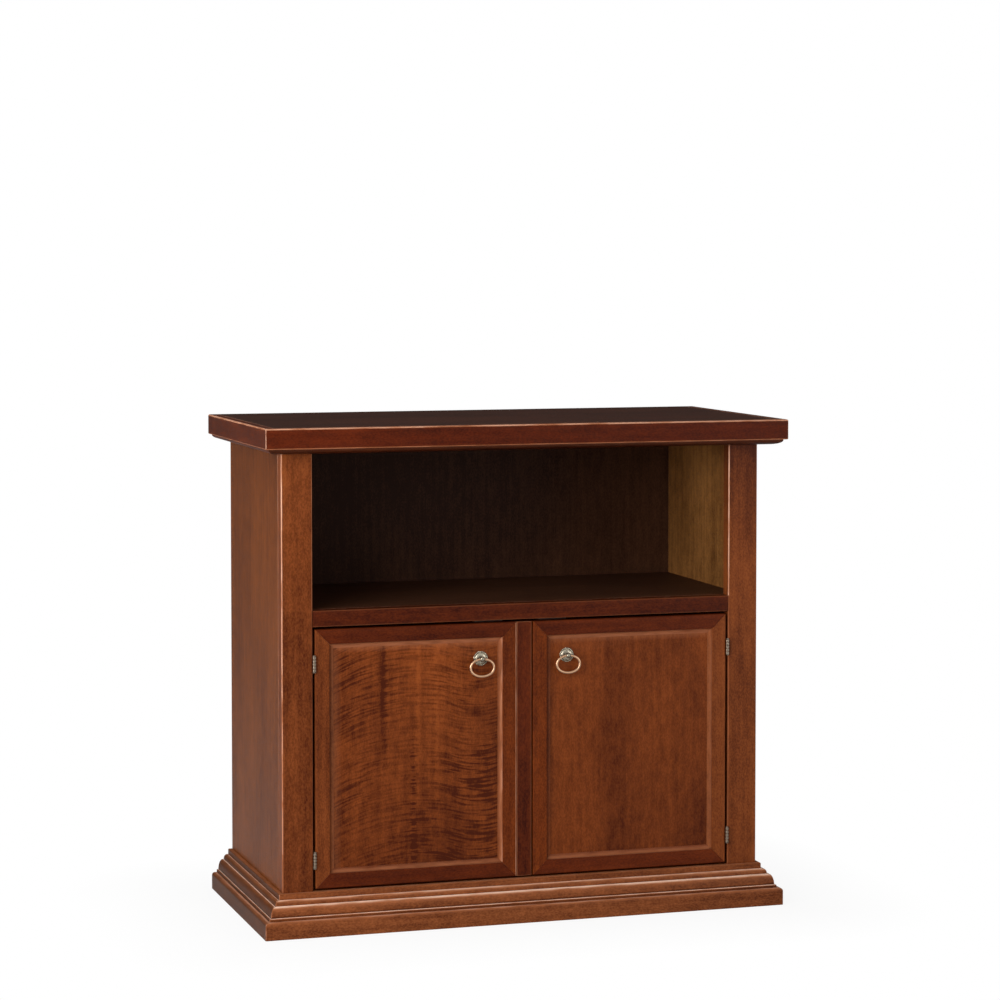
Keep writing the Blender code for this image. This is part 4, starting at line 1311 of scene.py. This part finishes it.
class CABINET_OT_hinges(bpy.types.Operator):
    """Makes the four butt hinges: leaves with rolled knuckles, pins and screws"""

    bl_idname = "cabinet.hinges"
    bl_label = "Hinges"

    def execute(self, context):
        sizes = context.scene.cabinet_sizes
        for name, side in SIDES.items():
            for level in ("upper", "lower"):
                self.pin(f"{name}_{level}_hinge", sizes)
                self.leaf(f"{name}_{level}_hinge_frame_leaf", side, 0, sizes)
                self.leaf(f"{name}_{level}_hinge_door_leaf", -side, 1, sizes)
        return {"FINISHED"}

    def pin(self, name, sizes):
        """A pin with a rounded head at each end."""
        node = f"{name}_pin"
        lowest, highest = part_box(node)
        centre = (lowest + highest) / 2
        tip = (highest.z - lowest.z) / 2
        head = (highest.x - lowest.x) / 2
        neck = (high(f"{name}_frame_leaf", "z") - low(f"{name}_frame_leaf", "z")) / 2 + SEAM
        round_off = (tip - neck) / 2
        half = [(sizes.pin_radius, neck), (head, neck), (head, tip - round_off)]
        half += [(head - round_off, tip), (0, tip)]
        outline = [(radius, -height) for radius, height in reversed(half)] + half
        pin = turned(f"dressed_{node}", outline, centre, (0, 0, 1), PIN_STEPS)
        stands_for(pin, finish_for("bronze"), node)

    def leaf(self, node, toward, kept, sizes):
        """A plate with tongues to its own knuckles. toward is the side that the plate is screwed to."""
        lowest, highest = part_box(node)
        radius = (highest.x - lowest.x) / 2
        axis_x = (highest.x + lowest.x) / 2
        axis_y = lowest.y + radius
        pitch = (highest.z - lowest.z) / sizes.knuckles
        bore = sizes.pin_radius + sizes.pin_clearance
        notch = axis_y + radius + SEAM
        tongue = axis_y + (bore + radius) / 2
        outer = HALF_OPENING - abs(axis_x) - SEAM
        inner = outer - sizes.leaf_thick
        rim = radius * KNUCKLE_RIM
        knuckles = []
        edge = []
        for knuckle in range(sizes.knuckles):
            bottom = lowest.z + knuckle * pitch + (SEAM / 2 if knuckle else 0)
            top = lowest.z + (knuckle + 1) * pitch - (SEAM / 2 if knuckle < sizes.knuckles - 1 else 0)
            mine = knuckle % 2 == kept
            edge += [(tongue if mine else notch, bottom), (tongue if mine else notch, top)]
            if mine:
                tall = top - bottom
                outline = [(bore, 0), (radius - rim, 0), (radius, rim)]
                outline += [(r, tall - z) for r, z in reversed(outline)]
                name = f"{node}_knuckle_{knuckle}"
                centre = (axis_x, axis_y, bottom)
                knuckles.append(turned(name, outline, centre, (0, 0, 1), KNUCKLE_STEPS, ring=True))
        corner = radius * LEAF_CORNER
        outline = edge + [
            (highest.y - corner, highest.z),
            (highest.y, highest.z - corner),
            (highest.y, lowest.z + corner),
            (highest.y - corner, lowest.z),
        ]
        face = axis_x + toward * inner
        plate = moulding(
            f"dressed_{node}", outline, lambda y, z, x: (axis_x + toward * x, y, z), (inner, 0), (outer, 0)
        )
        stands_for(joined([plate] + knuckles), finish_for("bronze"), node)
        middle = (notch + highest.y) / 2
        places = [(face, middle, lowest.z + (highest.z - lowest.z) * part) for part in LEAF_SCREWS]
        screws(f"{node}_screws", places, (-toward, 0, 0), sizes.screw_radius, BODY[node])


# Rosettes: width of the beaded rim in bead radii, the beads' seat as a share of the rim's height, the eased
# edge of the seat as shares of that, and how finely beads are divided
RIM_BEADS = 2.1
BEAD_SEAT = 0.45
SEAT_EDGE = (0.2, 0.8)
BEAD_STEPS = (12, 8)
# The rounded edges of a post's collar, as a share of its height
COLLAR_BEND = 0.25
# Nuts: their sides; edges sharper than this are chamfered, by this share of the thickness
NUT_SIDES = 6
NUT_SHARP = math.radians(30)
NUT_CHAMFER = 0.08
# How finely the wire of a ring is divided round itself and along each quarter
WIRE_STEPS = 8
RING_STEPS = 32


class CABINET_OT_pulls(bpy.types.Operator):
    """Makes the two ring pulls: beaded rosette, post with a ball, nut and oval ring"""

    bl_idname = "cabinet.pulls"
    bl_label = "Ring pulls"

    def execute(self, context):
        sizes = context.scene.cabinet_sizes
        for name in SIDES:
            lowest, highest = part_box(f"{name}_pull_rosette")
            seat = Vector(((lowest.x + highest.x) / 2, highest.y, (lowest.z + highest.z) / 2))
            self.rosette(f"{name}_pull_rosette", seat, sizes)
            self.post(name, seat, sizes)
            self.nut(f"{name}_pull_nut", seat, sizes)
            self.ring(f"{name}_ring")
        return {"FINISHED"}

    def rosette(self, node, seat, sizes):
        """A low dome inside a rim of beads."""
        lowest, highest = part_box(node)
        radius = (highest.x - lowest.x) / 2
        crown = highest.y - lowest.y
        hole = sizes.stem_radius + SEAM
        bead = sizes.bead_radius
        rim = radius - RIM_BEADS * bead
        base = sizes.rosette_rim * BEAD_SEAT
        inward, upward = SEAT_EDGE
        outline = [(hole, 0), (radius, 0), (radius, base * upward)]
        outline += [(radius - base * inward, base), (rim, base)]
        outline += [(p, q) for p, q, _ in quarter((rim, base), (sizes.collar_radius, crown), "q")]
        outline.append((hole, crown))
        rosette = turned(f"dressed_{node}", outline, seat, (0, -1, 0), ring=True)
        only(rosette)
        bpy.ops.object.mode_set(mode="EDIT")
        segments, rings = BEAD_STEPS
        for count in range(sizes.beads):
            turn = 2 * math.pi * count / sizes.beads
            spot = Vector((math.sin(turn), 0, math.cos(turn))) * (radius - bead)
            spot += seat - Vector((0, base, 0))
            bpy.ops.mesh.primitive_uv_sphere_add(
                segments=segments, ring_count=rings, radius=bead, location=spot
            )
        bpy.ops.object.mode_set(mode="OBJECT")
        stands_for(rosette, finish_for("brass"), node)

    def post(self, name, seat, sizes):
        """A stem with a collar, a neck and a ball, bored for the ring."""
        node = f"{name}_pull_post"
        lowest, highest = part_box(node)
        tail = seat.y - highest.y
        ball = seat.y - lowest.y - sizes.ball_radius
        collar = high(f"{name}_pull_rosette", "y") - low(f"{name}_pull_rosette", "y") + SEAM
        shoulder = collar + sizes.collar_height
        bend = sizes.collar_height * COLLAR_BEND
        outline = [
            (0, tail),
            (sizes.stem_radius, tail),
            (sizes.stem_radius, collar),
            (sizes.collar_radius - bend, collar),
            (sizes.collar_radius, collar + bend),
            (sizes.collar_radius, shoulder - bend),
            (sizes.collar_radius - bend, shoulder),
            (sizes.neck_radius, shoulder),
        ]
        neck = math.acos(sizes.neck_radius / sizes.ball_radius)
        for step in range(2 * MOULD_STEPS + 1):
            turn = -neck + (math.pi / 2 + neck) * step / (2 * MOULD_STEPS)
            radius = sizes.ball_radius * math.cos(turn) if step < 2 * MOULD_STEPS else 0
            outline.append((radius, ball + sizes.ball_radius * math.sin(turn)))
        post = turned(f"dressed_{node}", outline, seat, (0, -1, 0))
        wire, half_width, half_height = self.oval(f"{name}_ring")
        sag = sizes.ball_radius**2 * half_height / (2 * half_width**2)
        eye = Vector((seat.x, low(f"{name}_ring", "y") + wire, seat.z))
        reach = Vector((2 * sizes.ball_radius, 0, 0))
        cut(post, rod("eye", wire + sag + sizes.eye_clearance, eye - reach, eye + reach))
        stands_for(post, finish_for("aged"), node)

    def nut(self, node, seat, sizes):
        """A hexagonal nut with its corners chamfered."""
        lowest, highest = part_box(node)
        radius = max(highest.x - lowest.x, highest.z - lowest.z) / 2
        thick = highest.y - lowest.y
        hole = (sizes.stem_radius + SEAM) / math.cos(math.pi / NUT_SIDES)
        front = Vector((seat.x, lowest.y, seat.z))
        outline = [(hole, 0), (radius, 0), (radius, thick), (hole, thick)]
        nut = turned(f"dressed_{node}", outline, front, (0, 1, 0), NUT_SIDES, ring=True)
        opened("EDGE", "DESELECT")
        bpy.ops.mesh.edges_select_sharp(sharpness=NUT_SHARP)
        bpy.ops.mesh.bevel(offset=thick * NUT_CHAMFER, segments=2, affect="EDGES")
        bpy.ops.object.mode_set(mode="OBJECT")
        stands_for(nut, finish_for("zinc"), node)

    def oval(self, node):
        """The radius of a ring's wire, and half the width and height of the oval along its middle."""
        wire, half_width, half_height = ((high(node, axis) - low(node, axis)) / 2 for axis in "yxz")
        return wire, half_width - wire, half_height - wire

    def ring(self, node):
        """An oval of round wire that hangs in the eye."""
        lowest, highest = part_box(node)
        wire, half_width, half_height = self.oval(node)
        bpy.ops.object.select_all(action="DESELECT")
        bpy.ops.curve.primitive_bezier_circle_add(
            radius=half_width, location=(lowest + highest) / 2, rotation=(math.pi / 2, 0, 0)
        )
        bpy.ops.object.mode_set(mode="EDIT")
        bpy.ops.curve.select_all(action="SELECT")
        bpy.ops.transform.resize(value=(1, 1, half_height / half_width))
        bpy.ops.object.mode_set(mode="OBJECT")
        route = bpy.context.object.data
        route.dimensions = "3D"
        route.bevel_depth = wire
        route.bevel_resolution = WIRE_STEPS
        route.resolution_u = RING_STEPS
        bpy.ops.object.convert(target="MESH")
        ring = begun(f"dressed_{node}")
        bpy.ops.object.mode_set(mode="EDIT")
        closed()
        stands_for(ring, finish_for("polished"), node)


# Poles of a catch: heights of the two and their thickness as shares of the case's height, and their inset
# from its sides and their length in widths of its rim
POLE_LEVELS = (0.2, 0.5)
POLE_THICK = 1 / 6
POLE_INSET = 3
POLE_LENGTH = 2
# How far the screws of a strike plate are from its middle, as a share of its width
STRIKE_SCREWS = 0.3


class CABINET_OT_catches(bpy.types.Operator):
    """Makes the magnetic catches under the shelf and the strike plates on the doors"""

    bl_idname = "cabinet.catches"
    bl_label = "Catches"

    def execute(self, context):
        sizes = context.scene.cabinet_sizes
        for name in SIDES:
            self.catch(f"{name}_magnet_catch", sizes)
            self.strike(name, sizes)
        return {"FINISHED"}

    def catch(self, node, sizes):
        """A plastic case whose front is sunk round two steel poles."""
        lowest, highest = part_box(node)
        case = board(f"dressed_{node}", lowest, highest, sizes.arris / 2)
        only(case)
        opened("FACE", "DESELECT")
        shape = bmesh.from_edit_mesh(case.data)
        front = min(shape.faces, key=lambda face: (round(face.calc_center_median().y, 5), -face.calc_area()))
        front.select_set(True)
        bmesh.update_edit_mesh(case.data)
        rim = sizes.arris
        bpy.ops.mesh.inset(thickness=rim)
        bpy.ops.mesh.extrude_region_move(TRANSFORM_OT_translate={"value": (0, rim, 0)})
        bpy.ops.object.mode_set(mode="OBJECT")
        stands_for(case, finish_for("plastic"), node)
        tall = highest.z - lowest.z
        thick = tall * POLE_THICK
        inset = rim * POLE_INSET
        poles = []
        for level in POLE_LEVELS:
            z = lowest.z + tall * level
            start = (lowest.x + inset, lowest.y + SEAM, z - thick / 2)
            end = (highest.x - inset, lowest.y + rim * POLE_LENGTH, z + thick / 2)
            poles.append(board(f"{node}_pole", start, end, sizes.fine_arris))
        pair = joined(poles)
        pair.name = f"{node}_poles"
        settle(pair, finish_for("zinc"), BODY[node], "zinc_steel")

    def strike(self, name, sizes):
        """A steel plate with two screws."""
        node = f"{name}_strike_plate"
        lowest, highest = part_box(node)
        node_board(node, finish_for("zinc"), sizes.fine_arris)
        middle = (lowest + highest) / 2
        spread = (highest.x - lowest.x) * STRIKE_SCREWS
        places = [(middle.x + sign * spread, highest.y, middle.z) for sign in (-1, 1)]
        screws(f"{node}_screws", places, (0, 1, 0), sizes.screw_radius, BODY[node], "zinc", "zinc_steel")


# Lamps: where they stand, what they aim at, and the length of their sides
LAMPS = {
    "key": ((-2.0, -2.1, 1.65), (0.0, -0.1, 0.45), 1.4),
    "side": ((-2.7, -1.50, 0.85), (0.0, -0.1, 0.50), 0.7),
    "fill": ((2.0, -2.5, 0.65), (0.2, -0.1, 0.20), 1.6),
    "top": ((-0.4, 0.3, 3.2), (0.0, 0.0, 0.5), 2.4),
}
# Floor: its size, how far it lies under the plinth, the grain of its paint and how pale that is, its
# roughness, and how far from the cabinet it fades to white, with how white it is here and there
FLOOR_SIZE = 60.0
FLOOR_DROP = 0.0004
FLOOR_GRAIN = ((30, 30, 30), 3.0)
FLOOR_PALER = 0.1
FLOOR_ROUGH = 0.9
FLOOR_FADE = (0.0, 0.25, 0.90, 1.0)
# Where the room's reflections begin to darken toward the back, and where they are darkest
ROOM_FADE = (-0.15, 0.45)
SENSOR_WIDTH = 36.0


class CABINET_OT_stage(bpy.types.Operator):
    """Sets the floor, the white room, the lamps and the camera"""

    bl_idname = "cabinet.stage"
    bl_label = "Stage"

    def execute(self, context):
        stage = context.scene.cabinet_stage
        context.scene.view_settings.view_transform = "Standard"
        self.floor(stage)
        self.room(context, stage)
        for name, setting in LAMPS.items():
            self.lamp(f"{name}_lamp", *setting, getattr(stage, f"{name}_power"))
        self.camera(context, stage)
        return {"FINISHED"}

    def floor(self, stage):
        """A pale floor that takes the cabinet's shadow and fades to white around it."""
        bpy.ops.object.select_all(action="DESELECT")
        bpy.ops.mesh.primitive_plane_add(size=FLOOR_SIZE, location=(0, 0, -FLOOR_DROP))
        floor = begun("pale_floor")
        recipe = Recipe(bpy.data.materials.new("pale_floor_paint"))
        grain = recipe.spread(recipe.noise(*FLOOR_GRAIN), *CLOUD_SPREAD)
        paler = between(stage.floor_tone, WHITE, FLOOR_PALER)
        recipe.shade("Base Color", recipe.mix(grain, opaque(stage.floor_tone), opaque(paler)))
        recipe.shade("Roughness", FLOOR_ROUGH)
        recipe.shade("Specular IOR Level", 0.0)
        white = recipe.add("ShaderNodeEmission", {"Strength": 1.0})
        steps = (
            ("ABSOLUTE", None),
            ("SUBTRACT", (HALF_TOP, TOP_BACK, 0.0)),
            ("MAXIMUM", (0.0, 0.0, 0.0)),
            ("LENGTH", None),
        )
        away = recipe.place
        for operation, other in steps:
            values = {0: away, 1: other} if other else {0: away}
            node = recipe.add("ShaderNodeVectorMath", values, operation=operation)
            away = node.outputs["Value" if operation == "LENGTH" else "Vector"]
        seen = recipe.add("ShaderNodeLightPath").outputs["Is Camera Ray"]
        fade = recipe.math("MULTIPLY", recipe.spread(away, *FLOOR_FADE), seen)
        values = {0: fade, 1: recipe.shader.outputs["BSDF"], 2: white.outputs["Emission"]}
        surface = recipe.add("ShaderNodeMixShader", values).outputs[0]
        recipe.feed(recipe.tree.nodes["Material Output"].inputs["Surface"], surface)
        floor.data.materials.append(recipe.owner)

    def room(self, context, stage):
        """A white room: white to the eye, darker behind in reflections, and a soft light on everything."""
        world = bpy.data.worlds.new("white_room")
        context.scene.world = world
        recipe = Recipe(world, "Background", "Generated")
        behind = recipe.spread(recipe.along("Y"), *ROOM_FADE, 1.0, stage.back_light)
        path = recipe.add("ShaderNodeLightPath").outputs
        mirrored = recipe.math("MAXIMUM", path["Is Glossy Ray"], path["Is Transmission Ray"])
        level = recipe.level(mirrored, stage.room_light, behind)
        recipe.shade("Color", opaque(WHITE))
        recipe.shade("Strength", recipe.level(path["Is Camera Ray"], level, 1.0))

    def lamp(self, name, place, aim, size, power):
        """A square soft lamp that the camera doesn't see."""
        toward = Vector(aim) - Vector(place)
        turn = toward.to_track_quat("-Z", "Y").to_euler()
        bpy.ops.object.light_add(type="AREA", location=place, rotation=turn)
        lamp = bpy.context.object
        lamp.name = name
        lamp.data.size = size
        lamp.data.energy = power
        lamp.visible_camera = False

    def camera(self, context, stage):
        """The camera at the photograph's angle."""
        bpy.ops.object.camera_add(
            location=stage.camera_place, rotation=(math.pi / 2 - stage.camera_tilt, 0, -stage.camera_turn)
        )
        context.scene.camera = bpy.context.object
        context.scene.camera.data.lens = stage.lens
        context.scene.camera.data.sensor_width = SENSOR_WIDTH
        context.scene.camera.data.shift_y = stage.rise


OPERATORS = (
    CABINET_OT_top,
    CABINET_OT_uprights,
    CABINET_OT_shelves,
    CABINET_OT_plinth,
    CABINET_OT_doors,
    CABINET_OT_hinges,
    CABINET_OT_pulls,
    CABINET_OT_catches,
    CABINET_OT_stage,
)


class CABINET_PT_panel(bpy.types.Panel):
    """Lists the operators, and the sizes, colours and stage that they work with"""

    bl_idname = "CABINET_PT_panel"
    bl_label = "Television cabinet"
    bl_space_type = "VIEW_3D"
    bl_region_type = "UI"
    bl_category = "Cabinet"

    def draw(self, context):
        for operator in OPERATORS:
            self.layout.operator(operator.bl_idname)
        for group in ("cabinet_sizes", "cabinet_finishes", "cabinet_stage"):
            settings = getattr(context.scene, group)
            for name in settings.__annotations__:
                self.layout.prop(settings, name)


CLASSES = (CabinetSizes, CabinetFinishes, CabinetStage, *OPERATORS, CABINET_PT_panel)


def register():
    for kind in CLASSES:
        bpy.utils.register_class(kind)
    bpy.types.Scene.cabinet_sizes = PointerProperty(type=CabinetSizes)
    bpy.types.Scene.cabinet_finishes = PointerProperty(type=CabinetFinishes)
    bpy.types.Scene.cabinet_stage = PointerProperty(type=CabinetStage)


def unregister():
    del bpy.types.Scene.cabinet_stage
    del bpy.types.Scene.cabinet_finishes
    del bpy.types.Scene.cabinet_sizes
    for kind in reversed(CLASSES):
        bpy.utils.unregister_class(kind)


def main():
    register()
    bpy.ops.cabinet.top()
    bpy.ops.cabinet.uprights()
    bpy.ops.cabinet.shelves()
    bpy.ops.cabinet.plinth()
    bpy.ops.cabinet.doors()
    bpy.ops.cabinet.hinges()
    bpy.ops.cabinet.pulls()
    bpy.ops.cabinet.catches()
    bpy.ops.cabinet.stage()


if __name__ == "__main__":
    main()
